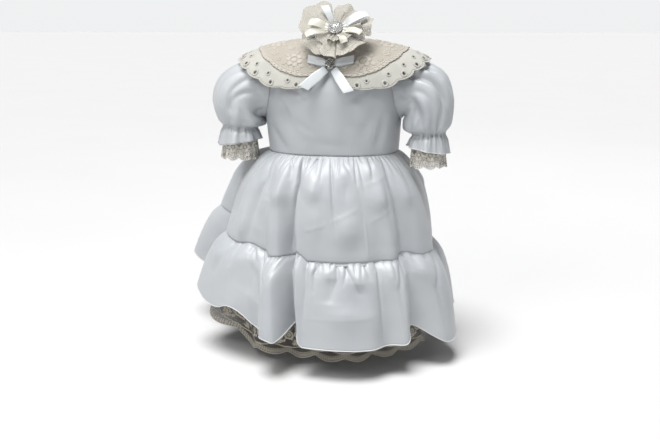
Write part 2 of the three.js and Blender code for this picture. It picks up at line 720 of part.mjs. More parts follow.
function buildCollar(side) {
  const eyeletLines = collarGrid(side, 1, SCALLOPS.eyelet, 0.045, 3, 3);
  const eyeletVectors = outwardVectors(eyeletLines, false, false);
  let eyelet = solidOf(wallGeometry(eyeletLines, eyeletVectors, 0, LACE, false));
  for (const hole of eyeletHoles(side)) eyelet = eyelet.subtract(hole);
  addPiece("collar_eyelet_" + side.name, geometryOf(eyelet), COLOURS.eyelet, 0.8);
  const lines = collarGrid(side, GUIPURE_REACH, SCALLOPS.guipure, 0.02, 3, 3);
  const vectors = outwardVectors(lines, false, false);
  const low = LACE + SEAM + GUIPURE_LIFT;
  const guipure = wallGeometry(lines, vectors, low, low + LACE + 0.3, false);
  addPiece("collar_guipure_" + side.name, guipure, COLOURS.guipure, 0.85);
}

// A flat ribbon along a row of middle points, with its width set across
function ribbonGeometry(middles, across, width, thickness) {
  const grid = middles.map((middle, k) => {
    const half = across[k].clone().normalize().multiplyScalar(width / 2);
    return [middle.clone().sub(half), middle.clone().add(half)];
  });
  const vectors = outwardVectors(grid, false, false);
  return wallGeometry(grid, vectors, -thickness / 2, thickness / 2, false);
}

// The knot lies on the collar, which slopes: lean is how far its face turns up from forward
function bowFrame() {
  const lean = radians(BROOCH.lean);
  return {
    knot: new THREE.Vector3(BROOCH.x, BROOCH.y, BROOCH.height),
    up: new THREE.Vector3(0, Math.sin(lean), Math.cos(lean)),
    out: new THREE.Vector3(0, -Math.cos(lean), Math.sin(lean)),
  };
}

function buildBowLoop(name, sign) {
  const { knot, up, out } = bowFrame();
  const middles = [];
  const steps = 12;
  for (let k = 0; k <= steps; k += 1) {
    const turn = (Math.PI * 2 * k) / steps;
    const reach = 4 + (BOW.loop - 4) * (0.5 - 0.5 * Math.cos(turn));
    const open = 1.6 + 3 * Math.sin(turn / 2);
    const middle = knot.clone().addScaledVector(up, BOW.loop_rise * (reach / BOW.loop));
    middle.x += sign * reach;
    middle.addScaledVector(out, 2.2 + (open / 2) * Math.cos(turn / 2));
    middles.push(middle);
  }
  const across = middles.map(() => up.clone().multiplyScalar(sign));
  addPiece(name, ribbonGeometry(middles, across, BOW.ribbon, BOW.thickness), COLOURS.ribbon, 0.35);
}

function buildBowTail(tail) {
  const { knot, up, out } = bowFrame();
  const side = Math.sign(tail.end_x);
  const start = knot.clone().addScaledVector(up, -7.2).addScaledVector(out, 1.5);
  start.x += side * 5.6;
  const end = new THREE.Vector3(tail.end_x, tail.end_y, tail.end_height);
  const along = end.clone().sub(start);
  const across = new THREE.Vector3(-along.z, 0, along.x);
  const middles = evenPlaces(0, 1, 5).map((share) => {
    const middle = start.clone().lerp(end, share);
    middle.y -= 3 * Math.sin(Math.PI * share);
    return middle;
  });
  const turns = middles.map(() => across);
  addPiece(tail.name, ribbonGeometry(middles, turns, BOW.ribbon, BOW.thickness), COLOURS.ribbon, 0.35);
}

function buildBow() {
  buildBowLoop("bow_loop_right", -1);
  buildBowLoop("bow_loop_left", 1);
  for (const tail of BOW_TAILS) buildBowTail(tail);
}

function buildBrooch() {
  const r = BROOCH.radius;
  const t = BROOCH.thickness;
  const profile = [
    new THREE.Vector2(0, 0),
    new THREE.Vector2(r - 1, 0),
    new THREE.Vector2(r, t * 0.4),
    new THREE.Vector2(r * 0.7, t * 0.85),
    new THREE.Vector2(0, t),
  ];
  const brooch = addPiece("brooch", new THREE.LatheGeometry(profile, 14), COLOURS.stone, 0.2, 0.6);
  const { knot, out } = bowFrame();
  brooch.rotation.x = Math.PI - radians(BROOCH.lean);
  brooch.position.copy(knot.addScaledVector(out, BROOCH.above_knot));
}

// The rosette has a frame of its own: x right, y up its face, z out of its face
function rosetteGroup() {
  const group = new THREE.Group();
  group.position.set(ROSETTE.x, ROSETTE.y, ROSETTE.height);
  group.rotation.x = Math.PI / 2 - radians(ROSETTE.lean);
  gown.add(group);
  return group;
}

function petalPoint(petal, share, along) {
  const width = petal.half_angle * (0.55 + 0.45 * Math.min(1, along * 1.6));
  const angle = radians(petal.at + width * share);
  const edge = 1 - 0.16 * share * share + 0.03 * Math.cos(share * 9);
  const reach = mix(ROSETTE.heart, petal.reach * edge, along);
  const curl = petal.cup * along * along * (0.6 - 1.2 * share * share);
  const crimp = 2.4 * along * Math.cos(share * 7.5);
  const height = ROSETTE.petal_height + curl + crimp;
  return new THREE.Vector3(reach * Math.cos(angle), reach * Math.sin(angle), height);
}

function buildRosette() {
  const group = rosetteGroup();
  PETALS.forEach((petal, k) => {
    const shares = evenPlaces(-1, 1, 11);
    const grid = shares.map((share) => evenPlaces(0, 1, 3).map((along) => petalPoint(petal, share, along)));
    const vectors = outwardVectors(grid, false, false);
    const geometry = wallGeometry(grid, vectors, -LACE / 2, LACE / 2, false);
    group.add(addPiece("rosette_petal_" + (k + 1), geometry, COLOURS.guipure, 0.85));
  });
  ROSETTE_RIBBONS.forEach((ribbon, k) => {
    const angle = radians(ribbon.at);
    const direction = new THREE.Vector3(Math.cos(angle), Math.sin(angle), 0);
    const across = new THREE.Vector3(-Math.sin(angle), Math.cos(angle), 0);
    const middles = evenPlaces(0, 1, 5).map((share) => {
      const distance = mix(RIBBON_RISE.from_middle, ribbon.reach, share);
      const middle = direction.clone().multiplyScalar(distance);
      const climb = Math.max(0, (distance - RIBBON_RISE.flat_to) / (ribbon.reach - RIBBON_RISE.flat_to));
      middle.z = RIBBON_RISE.start + RIBBON_RISE.layer * ribbon.layer;
      middle.z += RIBBON_RISE.arch * Math.sin(Math.PI * 0.7 * climb);
      return middle;
    });
    const turns = middles.map(() => across);
    const geometry = ribbonGeometry(middles, turns, ribbon.width, BOW.thickness);
    group.add(addPiece("rosette_ribbon_" + (k + 1), geometry, COLOURS.ribbon, 0.35));
  });
  const r = JEWEL.radius;
  const t = JEWEL.thickness;
  const profile = [
    new THREE.Vector2(0, 0),
    new THREE.Vector2(r, 0),
    new THREE.Vector2(r, t * 0.4),
    new THREE.Vector2(r * 0.75, t * 0.85),
    new THREE.Vector2(0, t),
  ];
  const jewel = addPiece("rosette_jewel", new THREE.LatheGeometry(profile, 14), COLOURS.jewel, 0.15, 0.3);
  group.add(jewel);
  jewel.rotation.x = Math.PI / 2;
  jewel.position.z = JEWEL.height;
}

// A felt strip behind the rosette, sewn inside the front of the neck band
function buildBacking() {
  const lean = radians(ROSETTE.lean);
  const behind = BACKING.thickness / 2 - BACKING.face;
  const face = (up) => {
    const y = ROSETTE.y + up * Math.sin(lean) + behind * Math.cos(lean);
    return new THREE.Vector3(ROSETTE.x, y, ROSETTE.height + up * Math.cos(lean) - behind * Math.sin(lean));
  };
  const middles = [
    new THREE.Vector3(ROSETTE.x / 2, BACKING.seam_y, BACKING.seam_height),
    new THREE.Vector3(ROSETTE.x / 2, BACKING.seam_y, BACKING.seam_height + 14),
    new THREE.Vector3(ROSETTE.x * 0.8, BACKING.seam_y - 1.5, BACKING.seam_height + 26),
    face(-8),
    face(0),
    face(BACKING.top),
  ];
  const across = middles.map(() => new THREE.Vector3(1, 0, 0));
  const geometry = ribbonGeometry(middles, across, BACKING.width, BACKING.thickness);
  addPiece("rosette_backing", geometry, COLOURS.backing, 0.9);
}

const core = buildBodice();
buildPlacket();
buildButtons();
buildNeckBand();
for (const side of SLEEVE_SIDES) {
  buildSleeve(side, core);
  buildCuffLace(side);
  buildCollar(side);
}
buildSkirt();
buildUnderskirt();
buildBow();
buildBrooch();
buildRosette();
buildBacking();

export default gown;
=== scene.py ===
# %% [markdown]
# # A christening gown, built round its CAD frame
# The solids in the frame are the gown's cloth as plain thick walls. This file puts real cloth in
# their place: fine sheets on the same rings and folds, with gathers, creases, rolled hems, lace and
# stones. Both files share the same short tables, so a piece here lies where its solid lies.

# %% Load the frame
import math

import bpy
import numpy as np
from mathutils import Matrix, Vector
from mathutils.kdtree import KDTree


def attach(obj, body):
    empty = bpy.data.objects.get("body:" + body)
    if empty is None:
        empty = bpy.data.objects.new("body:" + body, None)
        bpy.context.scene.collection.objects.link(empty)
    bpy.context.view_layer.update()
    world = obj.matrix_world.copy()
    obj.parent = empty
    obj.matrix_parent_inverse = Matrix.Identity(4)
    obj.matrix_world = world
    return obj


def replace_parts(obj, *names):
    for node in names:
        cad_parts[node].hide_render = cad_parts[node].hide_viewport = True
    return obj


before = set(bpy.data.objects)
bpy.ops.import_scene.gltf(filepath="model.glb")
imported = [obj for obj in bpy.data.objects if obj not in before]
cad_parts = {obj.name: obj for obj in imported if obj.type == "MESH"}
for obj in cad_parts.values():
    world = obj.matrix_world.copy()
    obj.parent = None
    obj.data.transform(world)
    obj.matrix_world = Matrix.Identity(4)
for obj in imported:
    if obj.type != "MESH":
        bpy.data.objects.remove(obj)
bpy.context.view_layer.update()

print("solids in the frame:", len(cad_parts))

# %% [markdown]
# ## Camera and studio
# The photo was taken from a little above and a little to the gown's left, about 1.2 m away. One
# pixel is 1.56 mm at the gown's middle, which sets the lens. The studio is a pale floor, a big soft
# light nearly overhead. A smaller one stands close, above in front, as a window would. It is so near
# that the bodice gets more of it than the hem does, which is how the photo's light falls off.

# %% Camera
PICTURE = (660, 440)
CAMERA = {"azimuth": 8.5, "elevation": 14.0, "distance": 1.22, "focus": (-0.006, 0.0, -0.270)}
MM_PER_PIXEL = 1.56


def aim(thing, place, target):
    thing.location = place
    thing.rotation_euler = (Vector(target) - Vector(place)).to_track_quat("-Z", "Y").to_euler()


def make_camera():
    a = math.radians(CAMERA["azimuth"])
    e = math.radians(CAMERA["elevation"])
    back = Vector((math.sin(a) * math.cos(e), -math.cos(a) * math.cos(e), math.sin(e)))
    target = Vector(CAMERA["focus"])
    camera = bpy.data.objects.new("camera", bpy.data.cameras.new("camera"))
    bpy.context.collection.objects.link(camera)
    aim(camera, target + back * CAMERA["distance"], target)
    focal_pixels = CAMERA["distance"] * 1000 / MM_PER_PIXEL
    camera.data.sensor_width = 36.0
    camera.data.lens = focal_pixels / PICTURE[0] * camera.data.sensor_width
    camera.data.clip_start = 0.02
    camera.data.clip_end = 200.0
    bpy.context.scene.camera = camera
    return camera


print("lens in mm:", round(make_camera().data.lens, 1))

# %% Lights
WORLD = {"horizon": 0.885, "sky": 0.20, "colour": (0.985, 0.99, 1.0)}
SUN = {"from": (-0.16, -0.26, 1.5), "strength": 4.1, "spread": 30.0}
LIGHTS = [
    {
        "name": "key", "place": (-0.42, -0.80, 0.62), "size": 0.45, "power": 4.6,
        "colour": (1.0, 0.99, 0.97)
    },
    {
        "name": "back", "place": (0.6, 1.6, 1.1), "size": 1.2, "power": 3.0,
        "colour": (1.0, 1.0, 1.0)
    },
]


def make_light(row):
    light = bpy.data.objects.new(row["name"], bpy.data.lights.new(row["name"], "AREA"))
    bpy.context.collection.objects.link(light)
    light.data.size = row["size"]
    light.data.energy = row["power"]
    light.data.color = row["colour"]
    aim(light, row["place"], (0.0, 0.0, -0.22))


def make_sun():
    sun = bpy.data.objects.new("sun", bpy.data.lights.new("sun", "SUN"))
    bpy.context.collection.objects.link(sun)
    sun.data.energy = SUN["strength"]
    sun.data.angle = math.radians(SUN["spread"])
    aim(sun, SUN["from"], (0.0, 0.0, 0.0))


def make_world():
    """A dim sky with a bright rim at the horizon, so the far end of the floor is pale."""
    world = bpy.data.worlds.new("studio")
    world.use_nodes = True
    nodes, links = world.node_tree.nodes, world.node_tree.links
    back = nodes["Background"]
    back.inputs["Color"].default_value = (*WORLD["colour"], 1.0)
    where = nodes.new("ShaderNodeTexCoord")
    split = nodes.new("ShaderNodeSeparateXYZ")
    band = nodes.new("ShaderNodeMapRange")
    links.new(where.outputs["Generated"], split.inputs[0])
    links.new(split.outputs["Z"], band.inputs["Value"])
    band.inputs["From Min"].default_value = 0.12
    band.inputs["From Max"].default_value = 0.32
    band.inputs["To Min"].default_value = WORLD["horizon"]
    band.inputs["To Max"].default_value = WORLD["sky"]
    links.new(band.outputs["Result"], back.inputs["Strength"])
    bpy.context.scene.world = world


for row in LIGHTS:
    make_light(row)
make_sun()
make_world()
bpy.context.scene.view_settings.view_transform = "Standard"
print("lights:", len(LIGHTS) + 1)

# %% [markdown]
# ## The gown's tables
# A sewn garment hangs as a stack of rings. Each ring has a half width, a reach to the front and one
# to the back, and folds push it out or in at places round it. These are the frame's own sizes, in
# millimetres and degrees. Angle 270 is the front and 90 the back. Right and left are the wearer's.

# %% Tables
TIER_AT = 0.53
SQUARENESS = 2.25
HEM_LACE_AT = 0.82
SEAM_GAP = 0.15


def table(columns, *rows):
    names = columns.split()
    return {name: np.array([float(row[k]) for row in rows]) for k, name in enumerate(names)}


BODICE_RINGS = table(
    "down side front back height_side height_front height_back",
    (0.00, 45, 44, 42, 0, -25, -8),
    (0.10, 62, 54, 52, -7, -35, -22),
    (0.22, 82, 62, 60, -16, -46, -36),
    (0.32, 95, 68, 66, -30, -57, -51),
    (0.45, 100, 72, 70, -52, -71, -67),
    (0.62, 103, 74, 72, -85, -92, -90),
    (0.80, 101, 74, 73, -120, -122, -121),
    (1.00, 98, 72, 72, -158, -158, -158),
)
COLLAR_RINGS = table(
    "down side front back height_side height_front height_back",
    (0.00, 44.4, 43.4, 41.4, 4, -22, -5),
    (0.25, 70, 57, 55, 0.5, -33, -20),
    (0.50, 95, 68, 66, -5, -48, -37),
    (0.75, 119, 76, 74, -12, -65, -57),
    (1.00, 142, 80, 78, -24, -84, -80),
)
SKIRT_RINGS = table(
    "down side front back height",
    (0.00, 98, 72, 72, -158),
    (0.03, 108, 82, 83, -166),
    (0.10, 122, 98, 100, -185),
    (0.21, 138, 112, 116, -215),
    (0.38, 149, 121, 128, -260),
    (0.53, 154, 126, 134, -300),
    (0.56, 160, 132, 140, -308),
    (0.65, 172, 143, 152, -330),
    (0.81, 182, 152, 162, -370),
    (1.00, 188, 160, 170, -416),
)
SKIRT_FOLDS = table(
    "top hem half_width upper tier low",
    (247, 256.5, 2.8, -10, -18, -34),
    (240, 249, 4.6, 3, 6, 20),
    (232, 240, 3, -2, -3, -6),
    (226, 236, 8, -3, -4, -10),
    (198, 198, 13, 5, 11, 24),
    (177, 177, 9, -8, -20, -34),
    (157, 157, 17, 44, 55, 80),
    (280, 281, 14, 2, 4, 8),
    (301, 302, 5, -3, -5, -9),
    (309, 310, 5, 1, 3, 6),
    (317, 319, 6, -7, -11, -28),
    (337, 335, 12, 3, 5, 14),
    (2, 4, 10, -3, -5, -12),
    (24, 24, 12, 3, 5, 12),
    (46, 46, 10, -5, -8, -18),
    (68, 68, 12, 3, 5, 12),
    (90, 90, 10, -6, -9, -20),
    (112, 112, 12, 2, 4, 10),
    (132, 132, 9, -4, -7, -14),
)
SKIRT_LIFTS = table(
    "at half_width tier low",
    (155, 27, 38, 66),
    (199, 10, 14, 44),
    (224, 12, 13, 38),
    (248, 4, 4, 12),
    (257, 3.4, 12, 26),
    (319, 6, 6, 19),
    (336, 12, 0, -11),
)
SKIRT_ROLLS = table("at half_width tier low", (250, 3.4, 1, 9))
UNDERSKIRT_RINGS = table(
    "down side front back height",
    (0.00, 96.1, 70.1, 70.1, -158.4),
    (0.20, 108, 84, 86, -200),
    (0.50, 118, 95, 100, -290),
    (0.82, 134, 108, 118, -392),
    (1.00, 143, 116, 126, -446),
)
UNDERSKIRT_FOLDS = table(
    "top hem half_width upper tier low",
    (198, 199, 13, 4, 14, 54),
    (157, 157, 17, 6, 34, 66),
    (228, 230, 9, 0, 4, 12),
    (282, 283, 12, 0, 4, 10),
    (300, 301, 6, 0, -3, -6),
    (338, 337, 10, 0, 4, 10),
    (24, 24, 10, 0, 3, 9),
    (68, 68, 10, 0, 3, 9),
    (112, 112, 10, 0, 3, 9),
)
UNDERSKIRT_LIFTS = table(
    "at half_width tier low", (155, 27, 34, 56), (200, 16, 8, 34), (345, 20, 2, 8)
)
SLEEVE_RINGS = table(
    "down out forward height tilt span depth",
    (0.00, 80, 0, -64, 0, 44.5, 37.5),
    (0.14, 104, 0, -66, 6, 45, 43),
    (0.28, 124, 2, -72, 26, 43, 48),
    (0.42, 138, 6, -84, 48, 44, 50),
    (0.55, 142, 11, -100, 68, 41.5, 46),
    (0.66, 141, 16, -115, 80, 36.5, 38),
    (0.76, 143, 20, -125, 86, 25.5, 27),
    (0.86, 143, 21, -134, 88, 30, 32),
    (1.00, 143, 22, -147, 90, 33, 36),
)
CUFF_LACE_RINGS = table(
    "down out forward height tilt span depth",
    (0.0, 143, 20, -125.4, 86, 23.1, 24.6),
    (0.4, 143, 22, -145, 89, 25, 27),
    (1.0, 143, 25, -169, 90, 27, 29),
)
SIDES = [
    {"name": "right", "sign": -1, "reach": 1.02, "rise": 2, "cuff_out": -4, "cuff_drop": -2},
    {"name": "left", "sign": 1, "reach": 0.97, "rise": 6, "cuff_out": 1, "cuff_drop": 4},
]
ARMHOLE = {"height": -64, "half_height": 43, "half_depth": 36}
print("skirt folds:", len(SKIRT_FOLDS["top"]))

# %% [markdown]
# ## From tables to surfaces
# The rings are joined by a curve that never overshoots, so a waist stays a waist. Each fold is a
# soft hump in the angle. Everything works on whole grids of numbers, because a fine cloth has tens
# of thousands of points.

# %% Surface functions


def column(rows, key, at):
    x, y = rows["down"], rows[key]
    slopes = np.diff(y) / np.diff(x)
    product = slopes[:-1] * slopes[1:]
    total = slopes[:-1] + slopes[1:]
    inner = np.where(product <= 0, 0.0, 2 * product / np.where(total == 0, 1, total))
    tangent = np.concatenate([slopes[:1], inner, slopes[-1:]])
    i = np.clip(np.searchsorted(x, at, side="right") - 1, 0, len(x) - 2)
    width = x[i + 1] - x[i]
    u = (at - x[i]) / width
    rise = y[i + 1] - y[i]
    start = u * (1 - u) ** 2 * width * tangent[i]
    end = u * u * (u - 1) * width * tangent[i + 1]
    return y[i] + rise * u * u * (3 - 2 * u) + start + end


def hump(away, half_width):
    away = (np.asarray(away) + 180) % 360 - 180
    soft = np.cos(np.clip(away / (2 * half_width), -1, 1) * math.pi / 2) ** 2
    return np.where(np.abs(away) < 2 * half_width, soft, 0.0)


def grown(down, upper, tier, low):
    return np.interp(down, [0, 0.08, 0.35, TIER_AT, 1.0], [0, upper / 2, upper, tier, low])


def oval(degrees, side, front, back):
    c = np.cos(np.radians(degrees))
    s = np.sin(np.radians(degrees))
    square = (np.abs(c) ** SQUARENESS + np.abs(s) ** SQUARENESS) ** (-1 / SQUARENESS)
    return side * c * square, np.where(s < 0, front, back) * s * square, c, s


def stack(x, y, z):
    return np.stack(np.broadcast_arrays(x, y, z), -1)


def humps_at(rows, degrees, down):
    total = 0.0
    for at, half, tier, low in zip(rows["at"], rows["half_width"], rows["tier"], rows["low"]):
        total = total + grown(down, tier / 2, tier, low) * hump(degrees - at, half)
    return total


def hanging(rings, folds, lifts, rolls, degrees, down, push):
    x, y, c, s = oval(
        degrees, column(rings, "side", down), column(rings, "front", down),
        column(rings, "back", down)
    )
    for k in range(len(folds["top"])):
        middle = folds["top"][k] + (folds["hem"][k] - folds["top"][k]) * down
        size = grown(down, folds["upper"][k], folds["tier"][k], folds["low"][k])
        push = push + size * hump(degrees - middle, folds["half_width"][k])
    grow = 1 + push / np.hypot(x, y)
    roll = humps_at(rolls, degrees, down) if rolls else 0.0
    height = column(rings, "height", down) + humps_at(lifts, degrees, down)
    return stack(x * grow - roll * s, y * grow + roll * c, height)


def draped(rings, degrees, down):
    x, y, c, s = oval(
        degrees, column(rings, "side", down), column(rings, "front", down),
        column(rings, "back", down)
    )
    sideways = np.abs(c) ** 1.8
    end = np.where(s < 0, column(rings, "height_front", down), column(rings, "height_back", down))
    return stack(x, y, end + (column(rings, "height_side", down) - end) * sideways)


def sleeve_ring(rings, side, degrees, down, push, drop, rise=0.0):
    tilt = np.radians(column(rings, "tilt", down))
    height = column(rings, "height", down) + rise
    span = (column(rings, "span", down) + push) * np.cos(np.radians(degrees))
    to_cuff = np.clip((-90 - height) / 35, 0, 1)
    out = 100 + (column(rings, "out", down) + np.sin(tilt) * span - 100) * side["reach"]
    out = out + side["cuff_out"] * to_cuff
    y = -column(rings, "forward", down)
    y = y + (column(rings, "depth", down) + push) * np.sin(np.radians(degrees)) * side["sign"]
    return stack(
        side["sign"] * out, y, height + np.cos(tilt) * span - drop - side["cuff_drop"] * to_cuff
    )


def steps(start, end, count):
    return np.linspace(start, end, count)


print("bodice waist at the front:", draped(BODICE_RINGS, np.array(270.0), np.array(1.0)).round(1))

# %% [markdown]
# ## Making cloth
# Every sheet is a grid of points with a fine skin of quads. A Solidify modifier gives it the
# thickness of the real cloth, inwards, so its outer face keeps the solid's form. The UV map is in
# millimetres of cloth, because a weave or a lace has a real scale that no modelled size should bend.

# %% Mesh tools
PIECES = {}


def mesh_piece(name, points, faces, uvs=None, values=None):
    points = np.asarray(points, float).reshape(-1, 3) / 1000
    faces = np.asarray(faces, np.int64)
    mesh = bpy.data.meshes.new(name)
    corners = faces.shape[1]
    mesh.vertices.add(len(points))
    mesh.vertices.foreach_set("co", points.astype(np.float32).ravel())
    mesh.loops.add(faces.size)
    mesh.loops.foreach_set("vertex_index", faces.ravel().astype(np.int32))
    mesh.polygons.add(len(faces))
    mesh.polygons.foreach_set("loop_start", np.arange(0, faces.size, corners, dtype=np.int32))
    mesh.polygons.foreach_set("use_smooth", np.ones(len(faces), bool))
    mesh.update(calc_edges=True)
    if uvs is not None:
        layer = mesh.uv_layers.new(name="cloth_mm")
        layer.data.foreach_set(
            "uv", np.asarray(uvs, np.float32).reshape(-1, 2)[faces.ravel()].ravel()
        )
    for key, value in (values or {}).items():
        attribute = mesh.attributes.new(key, "FLOAT", "POINT")
        attribute.data.foreach_set("value", np.asarray(value, np.float32).ravel())
    piece = bpy.data.objects.new(name, mesh)
    bpy.context.collection.objects.link(piece)
    PIECES[name] = piece
    return piece


def grid_faces(rows, points, around=False):
    i = np.arange(rows if around else rows - 1)[:, None]
    j = np.arange(points - 1)[None, :]
    here = i * points + j
    beside = ((i + 1) % rows) * points + j
    return np.stack([here, here + 1, beside + 1, beside], -1).reshape(-1, 4)


def cloth_uv(grid):
    """Distances along and down the cloth in millimetres, measured on the grid itself."""
    across = np.linalg.norm(np.diff(grid, axis=0), axis=2).mean(axis=1)
    down = np.linalg.norm(np.diff(grid, axis=1), axis=2).mean(axis=0)
    u = np.concatenate([[0], np.cumsum(across)])[:, None]
    v = np.concatenate([[0], np.cumsum(down)])[None, :]
    return np.stack(np.broadcast_arrays(u, v), -1)


def normals_of(grid, around=False):
    if around:
        across = np.roll(grid, -1, 0) - np.roll(grid, 1, 0)
    else:
        across = np.gradient(grid, axis=0)
    out = np.cross(np.gradient(grid, axis=1), across)
    return out / np.maximum(np.linalg.norm(out, axis=2, keepdims=True), 1e-9)


def solidify(piece, thickness_mm, offset=-1.0):
    if thickness_mm:
        shell = piece.modifiers.new("thickness", "SOLIDIFY")
        shell.thickness = thickness_mm / 1000
        shell.offset = offset
    return piece


def cloth(name, grid, thickness_mm, around=False, uvs=None, values=None, faces=None):
    uvs = cloth_uv(grid) if uvs is None else uvs
    faces = grid_faces(*grid.shape[:2], around) if faces is None else faces
    return solidify(mesh_piece(name, grid, faces, uvs, values), thickness_mm)


def tube(points, radius, sides=6, closed=False, squash=1.0, up=None):
    """A round cord along a line, as points, faces and a UV in millimetres along and round it."""
    points = np.asarray(points, float)
    ahead = np.roll(points, -1, 0) - np.roll(points, 1, 0) if closed else np.gradient(
        points, axis=0
    )
    ahead /= np.maximum(np.linalg.norm(ahead, axis=1, keepdims=True), 1e-9)
    guide = np.asarray([0.0, 0.0, 1.0]) if up is None else np.asarray(up, float)
    side = np.cross(ahead, guide)
    side /= np.maximum(np.linalg.norm(side, axis=1, keepdims=True), 1e-9)
    lift = np.cross(side, ahead)
    turn = np.linspace(0, 2 * math.pi, sides, endpoint=False)
    ring = (
        side[:, None] * np.cos(turn)[None, :, None]
        + lift[:, None] * np.sin(turn)[None, :, None] * squash
    )
    places = points[:, None] + np.asarray(radius).reshape(-1, 1, 1) * ring
    count = len(points)
    i = np.arange(count if closed else count - 1)[:, None]
    j = np.arange(sides)[None, :]
    here = i * sides + j
    beside = ((i + 1) % count) * sides + j
    after = (j + 1) % sides - j
    run = np.concatenate([[0], np.cumsum(np.linalg.norm(np.diff(points, axis=0), axis=1))])
    uvs = stack(run[:, None], turn[None, :], 0)[..., :2]
    faces = np.stack([here, here + after, beside + after, beside], -1).reshape(-1, 4)
    return places.reshape(-1, 3), faces, uvs.reshape(-1, 2)


def joined(parts):
    """Several (points, faces, uvs) as one."""
    starts = np.cumsum([0] + [len(part[0]) for part in parts[:-1]])
    points = np.concatenate([part[0] for part in parts])
    faces = np.concatenate([part[1] + start for part, start in zip(parts, starts)])
    return points, faces, np.concatenate([part[2] for part in parts])


def sheet_of(piece):
    """Reads the area of each face of a piece. Nothing more is done with it."""
    mesh = piece.data
    area = np.zeros(len(mesh.polygons), np.float32)
    mesh.polygons.foreach_get("area", area)


print("mesh tools ready")

# %% [markdown]
# ## Gathers and creases
# Gathered satin has short, sharp tucks at the seam that open into long, soft troughs, and between
# the troughs it swells. The large ones are placed one by one from the photo, each in its own size: a
# trough follows three points down the skirt, and a swell has a crisp lower side, where it turns
# away from the light. The small tucks come from a seeded shuffle, as no two of a real gather match.

# %% Gathers
# Troughs: angles at the top, middle and end, and the places down the skirt where those are
UPPER_TROUGHS = table(
    "at_top at_mid at_end top mid end half_width depth",
    (250.0, 253.2, 250.2, 0.00, 0.14, 0.52, 1.2, 11.0),
    (250.5, 256.6, 255.6, 0.02, 0.22, 0.52, 4.4, 6.2),
    (224.0, 227.0, 221.5, 0.01, 0.15, 0.53, 2.4, 9.0),
    (229.0, 233.0, 230.0, 0.03, 0.20, 0.42, 4.0, 4.2),
    (316.0, 314.2, 318.5, 0.00, 0.16, 0.53, 1.5, 9.5),
    (309.5, 308.5, 311.5, 0.10, 0.24, 0.48, 4.5, 5.6),
    (273.6, 275.2, 278.0, 0.00, 0.10, 0.40, 1.0, 4.4),
    (291.0, 293.5, 292.5, 0.10, 0.26, 0.50, 3.4, 3.6),
    (265.0, 270.0, 271.0, 0.16, 0.30, 0.46, 4.0, 3.0),
    (292.8, 291.4, 291.0, 0.00, 0.05, 0.14, 0.7, 4.6),
    (306.0, 303.0, 301.0, 0.00, 0.05, 0.12, 0.7, 3.6),
    (240.5, 245.5, 247.0, 0.00, 0.06, 0.12, 0.8, 4.2),
    (263.5, 261.5, 258.0, 0.00, 0.04, 0.10, 0.8, 3.8),
    (257.0, 256.5, 256.0, 0.00, 0.03, 0.09, 0.7, 3.4),
    (280.0, 284.5, 289.0, 0.02, 0.035, 0.10, 0.8, 3.4),
    (284.0, 283.5, 284.0, 0.12, 0.19, 0.30, 4.0, 2.6),
    (235.0, 236.0, 236.0, 0.00, 0.04, 0.10, 0.8, 3.6),
    (330.0, 329.0, 328.0, 0.00, 0.05, 0.20, 1.2, 3.4),
    (340.0, 341.0, 343.0, 0.00, 0.12, 0.40, 2.2, 4.6),
    (212.0, 211.0, 207.0, 0.00, 0.15, 0.45, 2.0, 4.6),
    (200.0, 199.0, 196.0, 0.00, 0.10, 0.30, 1.6, 3.8),
    (188.0, 190.0, 192.0, 0.00, 0.20, 0.50, 2.4, 4.8),
    (12.0, 10.0, 11.0, 0.00, 0.15, 0.47, 2.0, 5.2),
    (33.0, 34.5, 33.0, 0.00, 0.10, 0.32, 1.6, 4.4),
    (55.0, 52.0, 53.0, 0.00, 0.18, 0.52, 2.2, 5.6),
    (71.0, 73.0, 77.0, 0.00, 0.09, 0.28, 1.5, 4.2),
    (94.0, 91.5, 90.0, 0.00, 0.16, 0.49, 2.0, 5.8),
    (108.0, 109.0, 113.0, 0.00, 0.12, 0.37, 1.6, 4.6),
    (127.0, 124.0, 122.0, 0.00, 0.14, 0.51, 2.4, 5.2),
    (146.0, 147.0, 149.0, 0.00, 0.10, 0.31, 1.6, 4.4),
    (167.0, 170.0, 171.0, 0.00, 0.16, 0.50, 2.2, 5.4),
)
